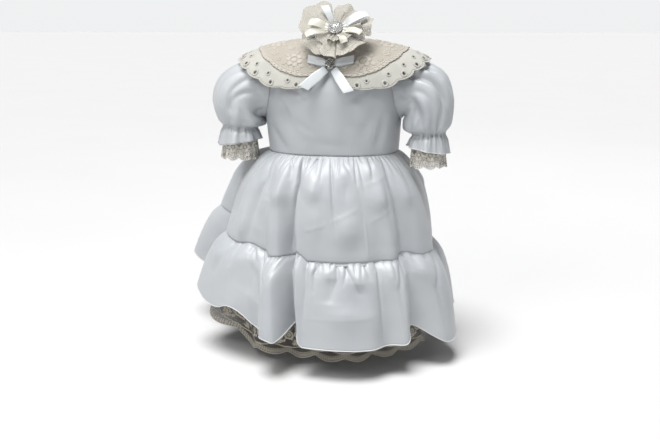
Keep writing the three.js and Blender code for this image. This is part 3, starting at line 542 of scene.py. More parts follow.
LOWER_TROUGHS = table(
    "at_top at_mid at_end top mid end half_width depth",
    (234.5, 243.5, 246.5, 0.53, 0.68, 0.94, 1.3, 4.5),
    (252.5, 252.5, 255.0, 0.53, 0.64, 0.88, 1.6, 5.5),
    (262.5, 263.8, 263.0, 0.53, 0.66, 0.90, 1.2, 3.6),
    (257.0, 257.5, 258.0, 0.53, 0.60, 0.80, 3.6, 3.2),
    (278.2, 278.6, 274.5, 0.53, 0.61, 0.74, 1.5, 5.0),
    (275.5, 275.0, 274.5, 0.60, 0.665, 0.74, 4.4, 5.2),
    (270.0, 267.5, 267.5, 0.53, 0.58, 0.70, 1.0, 3.6),
    (281.8, 284.2, 289.5, 0.53, 0.59, 0.70, 1.3, 5.4),
    (287.0, 289.0, 291.5, 0.63, 0.70, 0.80, 3.8, 4.6),
    (291.5, 293.0, 294.0, 0.53, 0.56, 0.62, 0.9, 3.6),
    (299.2, 298.2, 299.0, 0.53, 0.66, 0.98, 0.9, 3.6),
    (312.0, 308.0, 309.0, 0.53, 0.68, 0.96, 1.7, 5.0),
    (318.0, 320.0, 321.0, 0.53, 0.57, 0.64, 1.0, 4.0),
    (340.5, 330.5, 332.5, 0.53, 0.70, 0.95, 1.8, 5.0),
    (229.0, 232.5, 234.0, 0.53, 0.60, 0.82, 2.0, 4.6),
    (231.0, 233.5, 235.0, 0.62, 0.71, 0.84, 4.6, 4.6),
    (222.0, 221.0, 220.0, 0.53, 0.58, 0.70, 1.2, 4.0),
    (213.0, 212.0, 210.0, 0.53, 0.60, 0.78, 1.5, 4.6),
    (204.0, 203.0, 201.0, 0.53, 0.57, 0.66, 1.2, 3.8),
    (240.8, 241.6, 242.0, 0.53, 0.56, 0.63, 0.7, 3.8),
    (247.8, 247.2, 246.5, 0.53, 0.56, 0.62, 0.7, 3.8),
    (190.0, 191.0, 190.0, 0.53, 0.62, 0.92, 2.0, 5.0),
    (352.0, 350.0, 349.0, 0.53, 0.60, 0.84, 2.0, 4.8),
    (9.0, 7.0, 6.0, 0.53, 0.63, 0.93, 2.2, 5.6),
    (22.0, 24.0, 26.0, 0.53, 0.58, 0.71, 1.4, 4.2),
    (36.0, 38.0, 39.0, 0.53, 0.61, 0.86, 1.8, 5.0),
    (54.0, 52.0, 49.0, 0.53, 0.59, 0.76, 1.4, 4.4),
    (66.0, 67.0, 70.0, 0.53, 0.60, 0.68, 1.2, 4.0),
    (82.0, 84.0, 86.0, 0.53, 0.63, 0.96, 2.2, 5.8),
    (101.0, 99.0, 97.0, 0.53, 0.58, 0.72, 1.4, 4.4),
    (117.0, 118.0, 121.0, 0.53, 0.61, 0.83, 1.8, 4.8),
    (131.0, 133.0, 134.0, 0.53, 0.60, 0.94, 2.0, 5.4),
    (143.0, 142.0, 141.0, 0.53, 0.57, 0.68, 1.2, 4.0),
    (160.0, 161.0, 164.0, 0.53, 0.61, 0.88, 1.8, 5.0),
)
# Swells: width across, and length above and below the middle, in millimetres
SWELLS = table(
    "at down width above below height",
    (244.5, 0.185, 15, 34, 16, 5.5),
    (264.0, 0.150, 11, 26, 15, 4.6),
    (283.0, 0.060, 12, 10, 13, 3.4),
    (304.5, 0.200, 12, 26, 15, 4.8),
    (300.5, 0.062, 6, 10, 10, 2.4),
    (322.5, 0.200, 9, 34, 16, 4.2),
    (283.5, 0.360, 15, 20, 18, 4.6),
    (218.5, 0.440, 9, 30, 18, 4.0),
    (232.0, 0.250, 9, 26, 22, 2.6),
    (268.0, 0.300, 16, 20, 30, 2.4),
    (248.5, 0.640, 6, 16, 18, 2.6),
    (288.0, 0.600, 8, 10, 12, 4.0),
    (273.5, 0.565, 6, 8, 10, 2.6),
    (266.0, 0.560, 5, 8, 12, 2.6),
    (281.5, 0.800, 20, 10, 22, 3.2),
    (304.5, 0.580, 7, 10, 20, 3.2),
    (325.0, 0.610, 9, 14, 18, 4.4),
    (222.0, 0.640, 12, 18, 30, 3.4),
    (209.0, 0.620, 10, 14, 24, 3.0),
    (24.0, 0.180, 13, 26, 16, 4.6),
    (66.0, 0.140, 12, 20, 16, 4.2),
    (102.0, 0.210, 14, 30, 18, 5.0),
    (84.0, 0.330, 13, 20, 18, 3.4),
    (136.0, 0.170, 12, 24, 16, 4.4),
    (156.0, 0.230, 12, 28, 18, 4.0),
    (45.0, 0.640, 10, 14, 18, 4.0),
    (75.0, 0.615, 9, 12, 16, 4.2),
    (92.0, 0.670, 10, 16, 20, 3.8),
    (125.0, 0.620, 9, 12, 16, 4.0),
    (152.0, 0.640, 10, 14, 18, 3.6),
)
# Where the cloth was folded away in its drawer: faint ridges that run straight across the folds
STORAGE_LINES = table(
    "from_at from_down to_at to_down height",
    (259.5, 0.376, 273.0, 0.326, 0.7),
    (273.0, 0.326, 291.5, 0.243, 0.7),
    (294.5, 0.141, 314.0, 0.085, 0.5),
    (274.0, 0.020, 278.0, 0.300, 0.5),
    (293.5, 0.283, 295.0, 0.520, 0.6),
    (295.5, 0.330, 311.5, 0.253, 0.6),
    (229.0, 0.240, 240.0, 0.250, 0.4),
    (262.0, 0.830, 297.0, 0.815, 0.5),
    (60.0, 0.300, 95.0, 0.250, 0.5),
    (85.0, 0.120, 87.0, 0.500, 0.5),
)
MM_PER_DEGREE = 2.4
SKIRT_MM = 258.0
shuffle = np.random.default_rng(11)


def small_gathers(top, count, reach, depth, width):
    """Tucks all round between the placed ones."""
    spot = (np.arange(count) + shuffle.uniform(-0.42, 0.42, count)) * 360 / count
    long = shuffle.random(count) ** 2.4
    lean = shuffle.uniform(-3.5, 3.5, count) * (0.3 + long)
    length = 0.03 + long * reach
    return {
        "at_top": spot,
        "at_mid": spot + lean / 2,
        "at_end": spot + lean,
        "top": np.full(count, float(top)),
        "mid": top + length / 2,
        "end": top + length,
        "half_width": width * (0.55 + 0.6 * shuffle.random(count)),
        "depth": depth * (0.35 + 0.8 * shuffle.random(count)),
    }


def trough_push(rows, degrees, down):
    """How far a table of troughs pulls the cloth in: sharp at the seam, wide and soft further down."""
    total = np.zeros(np.broadcast(degrees, down).shape)
    flat_down, flat_degrees = down.ravel(), degrees.ravel()
    for a0, a1, a2, top, mid, end, half, depth in zip(*rows.values()):
        inside_rows = np.where((flat_down > top - 0.01) & (flat_down < end))[0]
        if not len(inside_rows):
            continue
        d = flat_down[inside_rows]
        share = np.clip((d - top) / (end - top), 0, 1)
        middle = np.interp(d, [top, mid, end], [a0, a1, a2])
        width = half * (0.75 + 1.3 * share)
        away = (flat_degrees[:, None] - middle[None, :] + 180) % 360 - 180
        near = np.abs(away / width[None, :])
        valley = 0.55 * np.exp(-(near**1.8)) + 0.45 * np.exp(-((1.9 * near) ** 1.15))
        at_seam = top < 0.005 or abs(top - TIER_AT) < 0.006
        start = (
            np.clip(0.08 + share / 0.13, 0, 1) if at_seam
            else np.sin(0.5 * math.pi * np.clip(share / 0.4, 0, 1))
        )
        total[:, inside_rows] -= depth * (start * (1 - share) ** 0.6)[None, :] * valley
    return total


def swell_push(degrees, down):
    total = 0.0
    for at, middle, width, above, below, height in zip(*SWELLS.values()):
        across = ((degrees - at + 180) % 360 - 180) * MM_PER_DEGREE / width
        along = (down - middle) * SKIRT_MM
        along = along / np.where(along < 0, above, below)
        same_tier = (down < TIER_AT) == (middle < TIER_AT)
        total = total + np.where(same_tier, height * np.exp(-(across**2) - along**2), 0.0)
    return 1.3 * total


def storage_push(degrees, down):
    total = 0.0
    for a0, d0, a1, d1, height in zip(*STORAGE_LINES.values()):
        ax, ay = (a1 - a0) * MM_PER_DEGREE, (d1 - d0) * SKIRT_MM
        px, py = (degrees - a0) * MM_PER_DEGREE, (down - d0) * SKIRT_MM
        along = np.clip((px * ax + py * ay) / (ax * ax + ay * ay), 0, 1)
        away = np.hypot(px - along * ax, py - along * ay)
        ends = np.clip(5 * along, 0, 1) * np.clip(5 * (1 - along), 0, 1)
        total = total + height * np.exp(-((away / 1.5) ** 2)) * ends
    return 1.4 * total


def smooth_noise(degrees, down, waves, size):
    """A slow unevenness, as no pressed cloth hangs quite even."""
    total = 0.0
    for k, (turns, drops, phase) in enumerate(waves):
        total = total + np.sin(np.radians(turns * degrees) + drops * down + phase) / (k + 1)
    return size * total


WAIST_GATHERS = small_gathers(0.0, 92, 0.16, 3.6, 0.95)
TIER_GATHERS = small_gathers(TIER_AT, 104, 0.13, 3.8, 0.85)
SLOW_WAVES = ((7, 3.0, 0.4), (11, -5.0, 1.7), (17, 7.0, 2.9))
print("small tucks at the waist and tier:", len(WAIST_GATHERS["top"]), len(TIER_GATHERS["top"]))

# %% [markdown]
# ## The skirt
# Two tiers, cut straight and gathered, and a front and a back of each that meet at the side seams.
# The hem is a narrow rolled hem. It shows as a thin bright line, because the roll catches the light,
# so it is a cord of its own along the edge. Its satin is also painted paler than the skirt's: a
# painted highlight on the roll.

# %% Skirt
SATIN_MM = 0.8


def skirt_push(degrees, down):
    upper = trough_push(WAIST_GATHERS, degrees, down) + trough_push(UPPER_TROUGHS, degrees, down)
    lower = trough_push(TIER_GATHERS, degrees, down) + trough_push(LOWER_TROUGHS, degrees, down)
    below_seam = np.where(down < TIER_AT, down, down - TIER_AT)
    above_tier = np.where(down < TIER_AT, np.clip((TIER_AT - down) / 0.03, 0.15, 1), 1)
    push = (
        np.where(down < TIER_AT, upper, lower) + 1.5 * np.clip(below_seam / 0.05, 0, 1) * above_tier
    )
    push = push + swell_push(degrees, down) + storage_push(degrees, down)
    return push + smooth_noise(degrees, down, SLOW_WAVES, 0.7) * np.clip(down / 0.2, 0, 1)


def skirt_surface(degrees, down):
    push = skirt_push(degrees, down)
    return hanging(SKIRT_RINGS, SKIRT_FOLDS, SKIRT_LIFTS, SKIRT_ROLLS, degrees, down, push)


def half_angles(front, count):
    """Steps round one half, closer together where the front folds are narrowest."""
    low, high = (180.06, 359.94) if front else (0.06, 179.94)
    even = np.linspace(low, high, 2001)
    weight = np.ones(even.shape)
    if front:
        weight = (
            weight + 1.6 * np.exp(-(((even - 262) / 42) ** 2))
            + 1.6 * np.exp(-(((even - 250) / 9) ** 2))
        )
    along = np.concatenate([[0], np.cumsum((weight[1:] + weight[:-1]) / 2)])
    return np.interp(np.linspace(0, along[-1], count), along, even)[:, None]


def seam_places(start, end, count, bunch):
    """Steps down a tier, closer together near its seam, where the tucks are."""
    return (start + (end - start) * np.linspace(0, 1, count) ** bunch)[None, :]


def build_tier(name, start, end, front_points, back_points, rows):
    gap = SEAM_GAP / 258
    for half, count in (("front", front_points), ("back", back_points)):
        degrees = half_angles(half == "front", count)
        down = seam_places(start + gap, end - (gap if end < 1 else 0), rows, 1.35)
        grid = skirt_surface(degrees, down)
        piece = cloth(f"{name}_{half}_satin", grid, SATIN_MM)
        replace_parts(piece, f"{name}_{half}")
        if end == 1:
            edge = grid[:, -1] + np.array([0, 0, 0.3])
            mesh_piece(f"{name}_{half}_rolled_hem", *tube(edge, 0.85, 6))


def build_seam_allowance(name, at, hidden):
    """The raw edges inside a seam, which close the hairline between two pieces."""
    degrees = steps(0, 360, 361)[:-1, None]
    down = np.array([[at - 0.012, at, at + 0.012]]) if at else np.array([[0.0, 0.010]])
    grid = hanging(SKIRT_RINGS, SKIRT_FOLDS, SKIRT_LIFTS, SKIRT_ROLLS, degrees, down, 0.0)
    if not at:
        top = grid[:, :1] + np.array([0, 0, 4.0])
        grid = np.concatenate([top, grid], 1)
    grid = grid - normals_of(grid, around=True) * hidden
    cloth(name, grid, 0, around=True)


build_seam_allowance("waist_seam_allowance", 0.0, 0.95)
build_seam_allowance("tier_seam_allowance", TIER_AT, 1.2)
build_tier("skirt_upper", 0.0, TIER_AT, 310, 150, 58)
build_tier("skirt_lower", TIER_AT, 1.0, 350, 170, 54)
print("skirt pieces:", [name for name in PIECES if "skirt" in name])

# %% [markdown]
# ## The bodice
# A plain front and two backs that meet at the centre back. The armholes are cut out of the grid: the
# points nearest the oval are moved onto it, and the faces within it go. The satin is only slightly
# eased over the body, so its creases are few, broad and shallow, and run from the armholes.

# %% Bodice
# Angle and place down of each end, half width and depth in millimetres
BODICE_CREASES = table(
    "from_at from_down to_at to_down half_width depth",
    (226, 0.60, 252, 0.93, 9, 1.5),
    (222, 0.52, 240, 0.74, 7, 1.6),
    (314, 0.56, 296, 0.90, 10, 1.5),
    (320, 0.66, 312, 0.97, 7, 1.3),
    (262, 0.40, 266, 0.97, 9, 0.8),
    (250, 0.88, 292, 0.93, 5, 0.5),
    (238, 0.70, 262, 0.84, 5, 0.6),
    (306, 0.80, 284, 0.74, 5, 0.6),
    (282, 0.46, 287, 0.99, 11, 0.8),
    (214, 0.78, 236, 0.99, 6, 1.2),
    (232, 0.36, 256, 0.55, 7, 0.9),
    (306, 0.38, 285, 0.58, 7, 0.9),
    (46, 0.56, 68, 0.92, 9, 1.5),
    (136, 0.58, 112, 0.94, 9, 1.6),
    (60, 0.40, 74, 0.66, 8, 1.0),
    (120, 0.40, 108, 0.62, 8, 1.0),
    (30, 0.74, 52, 0.98, 7, 1.2),
    (152, 0.74, 128, 0.98, 7, 1.2),
)


def line_troughs(rows, degrees, down, width_mm, length_mm):
    """Troughs along straight lines on a surface that is width_mm a degree and length_mm in all."""
    total = 0.0
    for a0, d0, a1, d1, half, depth in zip(
        *(rows[key] for key in ("from_at", "from_down", "to_at", "to_down", "half_width", "depth"))
    ):
        ax, ay = (a1 - a0) * width_mm, (d1 - d0) * length_mm
        px, py = (degrees - a0) * width_mm, (down - d0) * length_mm
        along = np.clip((px * ax + py * ay) / (ax * ax + ay * ay), 0, 1)
        away = np.hypot(px - along * ax, py - along * ay)
        total = (
            total
            - depth * np.exp(-((away / half) ** 2))
            * np.sin(math.pi * np.clip(along, 0.02, 0.98)) ** 0.7
        )
    return total


def bodice_grid(degrees, down, folds=True):
    grid = draped(BODICE_RINGS, degrees, down)
    if not folds:
        return grid
    push = 2.1 * line_troughs(BODICE_CREASES, degrees, down, 1.55, 150.0)
    push = push + smooth_noise(degrees, down * 6, ((5, 1.0, 0.3), (9, -1.4, 2.0)), 0.35)
    return grid + normals_of(grid) * push[..., None]


def cut_armholes(grid, faces):
    """Moves the points beside each armhole onto its edge and drops the faces within it."""
    points = grid.reshape(-1, 3).copy()
    y = points[:, 1] / ARMHOLE["half_depth"]
    z = (points[:, 2] - ARMHOLE["height"]) / ARMHOLE["half_height"]
    away = np.hypot(y, z)
    side = np.abs(points[:, 0]) > 55
    near = side & (away > 0.955) & (away < 1.045)
    points[near, 1] = y[near] / away[near] * ARMHOLE["half_depth"]
    points[near, 2] = ARMHOLE["height"] + z[near] / away[near] * ARMHOLE["half_height"]
    inside = side & (away <= 0.955)
    return points.reshape(grid.shape), faces[~inside[faces].any(axis=1)]


def build_bodice():
    down = seam_places(0.0, 1 - SEAM_GAP / 70, 68, 1.0)
    spans = {
        "bodice_front": (180.1, 359.9, 124), "bodice_back_left": (0.1, 89.87, 62),
        "bodice_back_right": (90.13, 179.9, 62)
    }
    for name, (start, end, count) in spans.items():
        grid = bodice_grid(steps(start, end, count)[:, None], down)
        uvs = cloth_uv(grid)
        points, faces = cut_armholes(grid, grid_faces(*grid.shape[:2]))
        piece = cloth(name + "_satin", points, SATIN_MM, uvs=uvs, faces=faces)
        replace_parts(piece, name)


build_bodice()

# %% Neck band, placket and buttons
LACE_MM = 1.2
PLACKET_HALF = 8.0


def build_neck_band():
    """A strip folded over the neck edge: up the outside, over the top and down the inside."""
    degrees = steps(0, 360, 181)[:-1, None]
    x, y, _, _ = oval(degrees, 42.6, 41.6, 39.6)
    edge = draped(COLLAR_RINGS, degrees, np.array(0.0))[..., 2]
    out = np.array([[1.25, 1.45, 1.55, 1.45, 1.2, 0.7, 0.2, -0.05, -0.1, -0.1, -0.1]])
    up = np.array([[-3.5, -2.2, -0.8, 0.5, 1.2, 1.5, 1.2, 0.5, -0.8, -2.2, -3.5]])
    grid = stack(x * (1 + out / 42), y * (1 + out / 42), edge + up)[:, ::-1]
    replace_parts(cloth("neck_band_satin", grid[:, ::-1], 0.45, around=True), "neck_band")


def placket_grid(across, down, lift):
    x = across * PLACKET_HALF
    rows = draped(BODICE_RINGS, np.array(90.0), down)
    y = draped(BODICE_RINGS, 90 - np.abs(across) * 6.4, down)[..., 1]
    grid = stack(x, y, rows[..., 2])
    return grid + stack(0 * x, lift, 0.12 * lift)


def build_placket():
    across = steps(1, -1, 25)[:, None]
    down = steps(0.06, 0.97, 90)[None, :]
    edge = 0.35 * np.exp(-(((1 - np.abs(across)) / 0.10) ** 2))
    ripple = 0.22 * np.sin(down * 95) * np.abs(across) ** 2
    grid = placket_grid(across, down, 0.5 + LACE_MM - edge + ripple * 0.5)
    piece = cloth("back_placket_satin", grid, 0.8)
    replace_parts(piece, "back_placket")
    for name, x in (("left", 0.86), ("right", -0.86)):
        place = placket_grid(np.array([[x]]), steps(0.065, 0.965, 140)[None, :], 0.5 + LACE_MM)[0]
        dashes = []
        for k in range(0, 138, 3):
            dashes.append(tube(place[k : k + 3] + np.array([0, 0.08, 0]), 0.16, 4, up=(1, 0, 0)))
        mesh_piece(f"back_placket_stitching_{name}", *joined(dashes))


build_neck_band()
build_placket()


def lathe(profile, sides):
    turn = np.linspace(0, 2 * math.pi, sides, endpoint=False)
    profile = np.asarray(profile, float)
    points = np.stack([
        profile[:, None, 0] * np.cos(turn),
        profile[:, None, 0] * np.sin(turn),
        np.broadcast_to(profile[:, None, 1], (len(profile), sides)),
    ], -1)
    i = np.arange(len(profile) - 1)[:, None]
    j = np.arange(sides)[None, :]
    after = (j + 1) % sides
    faces = np.stack(
        [i * sides + j, i * sides + after, (i + 1) * sides + after, (i + 1) * sides + j], -1
    )
    uvs = np.stack(np.broadcast_arrays(turn[None, :] * 4, profile[:, :1]), -1)
    return points.reshape(-1, 3), faces.reshape(-1, 4), uvs.reshape(-1, 2)


def stood_on(points, middle, right, up, out):
    """Points of a small hard part, moved to their place on the cloth and turned to face out."""
    return middle + points[:, :1] * right + points[:, 1:2] * up + points[:, 2:] * out


def build_buttons():
    r, t = 5.5, 2.6
    profile = [(0.01, 0), (r - 0.5, 0), (r, 0.5), (r, t - 0.9), (r - 0.35, t - 0.25), (r - 0.9, t)]
    profile += [(r - 1.6, t - 0.25), (r - 2.2, t - 0.75), (0.01, t - 0.85)]
    for k in range(3):
        height = -94 - 25 * k
        downs = steps(0, 1, 2001)
        heights = draped(BODICE_RINGS, np.array(90.0), downs)
        i = int(np.argmin(np.abs(heights[:, 2] - height)))
        here, below = heights[i], heights[min(i + 20, 2000)]
        slope = math.atan2(below[1] - here[1], here[2] - below[2])
        away = 0.5 + LACE_MM + 0.3
        outward = np.array([0, math.cos(slope), math.sin(slope)])
        up = np.array([0, -math.sin(slope), math.cos(slope)])
        points, faces, uvs = lathe(profile, 40)
        middle, across = here + outward * away, np.array([-1.0, 0, 0])
        placed = stood_on(points, middle, across, up, outward)
        threads = []
        for x in (-1.1, 1.1):
            for turn in (-0.3, 0.0, 0.3):
                ends = np.array(
                    [[x + turn, -1.3, t - 0.55], [x + turn, 0, t - 0.25], [x + turn, 1.3, t - 0.55]]
                )
                line = stood_on(ends, middle, across, up, outward)
                threads.append(tube(line, 0.16, 5, up=(1, 0, 0.1)))
        piece = mesh_piece(f"back_button_{k + 1}_pearl", placed, faces[:, ::-1], uvs)
        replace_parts(piece, f"back_button_{k + 1}")
        mesh_piece(f"back_button_{k + 1}_thread", *joined(threads))


build_buttons()
print("bodice pieces:", [name for name in PIECES if "bodice" in name or "back" in name])

# %% [markdown]
# ## The sleeves
# A short puff with its fullness gathered into the armhole and again by elastic at the cuff. Below the
# elastic the satin goes on as a ruffle with a rolled edge, over a ruffle of lace.

# %% Sleeves
SLEEVE_TUCKS = 46
SLEEVE_CREASES = table(
    "at from_down to_down half_width depth slant",
    (330, 0.66, 0.24, 5.0, 3.2, -30),
    (300, 0.72, 0.30, 6.0, 3.8, 18),
    (285, 0.60, 0.18, 4.5, 2.4, -16),
    (20, 0.68, 0.20, 5.5, 2.8, 14),
    (262, 0.72, 0.34, 7.0, 4.0, -22),
    (45, 0.62, 0.16, 5.0, 2.6, -16),
    (352, 0.74, 0.42, 4.0, 3.0, 10),
    (80, 0.70, 0.30, 7.0, 3.4, 20),
    (225, 0.72, 0.40, 6.0, 3.2, 14),
    (120, 0.70, 0.36, 7.0, 3.4, -14),
    (160, 0.72, 0.44, 6.0, 2.6, 12),
    (292, 0.06, 0.66, 5.0, 4.2, 30),
    (262, 0.10, 0.58, 4.5, 3.4, -22),
    (318, 0.05, 0.52, 4.5, 3.6, 24),
    (240, 0.14, 0.64, 5.0, 3.2, 18),
    (348, 0.04, 0.40, 4.5, 3.0, -20),
    (60, 0.08, 0.56, 5.0, 3.4, 22),
    (98, 0.12, 0.60, 5.0, 3.2, -20),
    (130, 0.10, 0.50, 4.5, 2.8, 18),
)


def sleeve_tucks(seed):
    own = np.random.default_rng(seed)
    count = SLEEVE_TUCKS
    return {
        "at": (np.arange(count) + own.uniform(-0.4, 0.4, count)) * 360 / count,
        "head": 0.5 + own.random(count),
        "cuff": 0.5 + own.random(count),
        "head_reach": 0.10 + 0.24 * own.random(count) ** 1.8,
        "cuff_reach": 0.06 + 0.22 * own.random(count) ** 1.6,
        "width": 2.2 + 1.8 * own.random(count),
        "slant": own.uniform(-5, 5, count),
    }


def sleeve_push(side, tucks, degrees, down):
    wave = np.cos(np.radians(8 * degrees + 25))
    c = np.cos(np.radians(degrees))
    head = hump(down * 100 - 12, 9) * np.maximum(0, c)
    puff = hump(down * 100 - 66, 7)
    ruffle = np.maximum(0, (down - 0.78) / 0.22)
    push = wave * (0.5 * head + 1.0 * puff + 2.2 * ruffle)
    push = (
        push + 1.4 * np.cos(np.radians(3 * degrees + side["sign"] * 40)) * hump(down * 100 - 50, 20)
    )
    for k in range(SLEEVE_TUCKS):
        head_share = np.clip((down - 0.03) / tucks["head_reach"][k], 0, 1)
        cuff_share = np.clip((0.76 - down) / tucks["cuff_reach"][k], 0, 1)
        below = np.clip((down - 0.76) / 0.24, 0, 1)
        middle = tucks["at"][k] + tucks["slant"][k] * head_share
        width = tucks["width"][k] * (
            0.8 + 1.6
            * np.where(down < 0.45, head_share, np.where(down < 0.76, cuff_share, 0.9 * below))
        )
        valley = np.exp(-((((degrees - middle + 180) % 360 - 180) / width) ** 2))
        size = 2.4 * tucks["head"][k] * (1 - head_share) * np.clip(0.35 + c, 0, 1)
        size = size + np.where(
            down <= 0.76, 2.3 * tucks["cuff"][k] * (1 - cuff_share),
            2.3 * tucks["cuff"][k] * (1 - 0.55 * below)
        )
        push = push - size * valley
    for at, start, end, half, depth, slant in zip(
        *(SLEEVE_CREASES[key] for key in ("at", "from_down", "to_down", "half_width", "depth", "slant"))
    ):
        share = (down - start) / (end - start)
        middle = at + slant * np.clip(share, 0, 1)
        shape = np.exp(
            -((((degrees - middle + 180) % 360 - 180) / (half * (1 + 0.8 * np.clip(share, 0, 1)))) ** 2)
        )
        push = push - depth * shape * np.sin(math.pi * np.clip(share, 0, 1)) ** 0.8
    return push + 1.3 * np.exp(-(((down - 0.70) / 0.03) ** 2))


def sleeve_surface(side, tucks, degrees, down):
    drop = np.where(down < 0.8, 0, 5 * (down - 0.8) / 0.2 * np.cos(np.radians(degrees)))
    rise = side["rise"] * hump(down * 100 - 36, 14)
    return sleeve_ring(
        SLEEVE_RINGS, side, degrees, down, sleeve_push(side, tucks, degrees, down), drop, rise
    )


def bodice_tree():
    degrees = steps(0, 360, 361)[:-1, None]
    down = steps(0.05, 1, 160)[None, :]
    grid = bodice_grid(degrees, down)
    normals = normals_of(grid, around=True)
    points = grid.reshape(-1, 3)
    tree = KDTree(len(points))
    for k, point in enumerate(points):
        tree.insert(point, k)
    tree.balance()
    return tree, points, normals.reshape(-1, 3)


def outside_body(tree, point):
    """Signed distance in millimetres to the bodice's outer face."""
    place, k, _ = tree[0].find(point)
    return float(np.dot(np.asarray(point) - tree[1][k], tree[2][k]))


def build_sleeve(side, tree, seed):
    tucks = sleeve_tucks(seed)
    degrees = steps(0, 360, 149)[:-1, None]
    coarse = steps(0.0, 0.34, 35)[None, :]
    start = []
    for line in sleeve_surface(side, tucks, degrees, coarse):
        k = 0
        while k < 34 and outside_body(tree, line[k]) < 0.10:
            k += 1
        start.append(coarse[0, max(k - 1, 0)] + 0.004)
    start = np.convolve(np.concatenate([start[-2:], start, start[:2]]), [0.2] * 5, "valid")
    spread = steps(0, 1, 70)[None, :] ** 1.15
    down = start[:, None] + (1 - start[:, None]) * spread
    grid = sleeve_surface(side, tucks, degrees, down)
    piece = cloth(
        f"sleeve_{side['name']}_satin", grid if side["sign"] > 0 else grid[::-1], SATIN_MM,
        around=True
    )
    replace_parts(piece, f"sleeve_{side['name']}")
    mesh_piece(f"sleeve_{side['name']}_rolled_edge", *tube(grid[:, -1], 0.8, 6, closed=True))
    stitches = []
    elastic = sleeve_surface(side, tucks, steps(0, 360, 361)[:-1, None], np.array([[0.757, 0.763]]))
    for lane in (0, 1):
        line = elastic[:, lane]
        for k in range(0, 360, 4):
            stitches.append(tube(line[k : k + 3], 0.2, 4))
    mesh_piece(f"sleeve_{side['name']}_elastic_stitching", *joined(stitches))


tree = bodice_tree()
for seed, side in zip((21, 34), SIDES):
    build_sleeve(side, tree, seed)
print("sleeve pieces:", [name for name in PIECES if "sleeve" in name])

# %% [markdown]
# ## The underskirt and its lace
# The underskirt is plain cloth that only shows where the hem is hitched up. Its edge is tulle lace:
# flowers and leaves worked on a fine net, over a scalloped border of cords and small holes. The net
# is far finer than a mesh could be, so the material draws it. The flowers are drawn here, as a value
# from 0 on bare net to 1 on solid thread that each point of the sheet carries.

# %% Lace drawing


def inside(distance, softness=0.5):
    """From 0 outside a shape to 1 inside it, for a distance that is positive inside."""
    return np.clip(distance / softness + 0.5, 0, 1)


def blossom(x, y, radius, petals, turn=0.0):
    """A flower with rounded petals and a ring round its eye."""
    away = np.hypot(x, y)
    lobe = np.abs(np.cos(petals * (np.arctan2(y, x) - turn) / 2))
    petal = inside(radius * (0.62 + 0.38 * lobe**0.6) - away)
    gap = inside(0.22 * radius - np.abs(away - 0.45 * radius) - 0.62 * radius * lobe)
    eye = inside(0.30 * radius - np.abs(away - 0.02 * radius)) * (1 - inside(0.13 * radius - away))
    slit = inside(0.10 * radius - np.abs(away - 0.38 * radius))
    return np.maximum(petal * (1 - 0.9 * gap) * (1 - 0.8 * slit), eye)


def ringed_rose(x, y, radius):
    """A flower of rings, with scalloped outer petals."""
    away = np.hypot(x, y)
    lobe = np.abs(np.cos(4.5 * np.arctan2(y, x)))
    outer = inside(radius * (0.86 + 0.14 * lobe) - away) * inside(away - 0.60 * radius)
    return np.maximum(outer, inside(0.40 * radius - away) * inside(away - 0.14 * radius))


def leaf(x, y, length, width, turn):
    along = x * math.cos(turn) + y * math.sin(turn)
    side = -x * math.sin(turn) + y * math.cos(turn)
    share = np.clip(along / length, 0, 1)
    body = (
        inside(width * np.sin(math.pi * share) ** 0.8 - np.abs(side)) * inside(along)
        * inside(length - along)
    )
    return body * (1 - 0.7 * inside(0.16 * width - np.abs(side)))


def stem(x, y, turn, length, half):
    along = x * math.cos(turn) + y * math.sin(turn)
    side = -x * math.sin(turn) + y * math.cos(turn)
    return (
        inside(half - np.abs(side - 0.04 * along * (length - along) / 3)) * inside(along)
        * inside(length - along)
    )


def border(x, edge, pitch, rows):
    """Cords that run along the edge, and a row of round holes between each two of them."""
    total = inside(0.6 - edge)
    for start, end in rows:
        band = inside(edge - start) * inside(end - edge)
        step = (x / pitch - np.floor(x / pitch) - 0.5) * pitch
        hole = inside(0.30 * (end - start) - np.hypot(step, edge - (start + end) / 2), 0.6)
        total = np.maximum(total, band * (1 - hole))
    return total


def repeated(x, pitch, shift=0.0):
    return (x - shift + pitch / 2) % pitch - pitch / 2


# Flowers of one repeat of the hem lace: along and up from the edge in millimetres
HEM_REPEAT = 41.0
HEM_FLOWERS = [
    ("rose", 20.5, 27.0, 7.4), ("star", 6.5, 24.0, 5.2), ("star", -8.0, 31.0, 4.6),
    ("star", 1.0, 44.0, 4.8)
]
HEM_LEAVES = table(
    "x y length width turn",
    (13, 20, 8, 2.2, 3.6),
    (28, 20, 8, 2.2, -0.5),
    (-3, 22, 8, 2.1, 2.3),
    (-12, 24, 9, 2.3, -0.9),
    (11, 32, 9, 2.2, 1.9),
    (30, 34, 9, 2.2, 1.2),
    (8, 40, 8, 2.0, 0.4),
    (-6, 40, 8, 2.0, 2.7),
    (22, 38, 10, 2.2, 1.4),
)


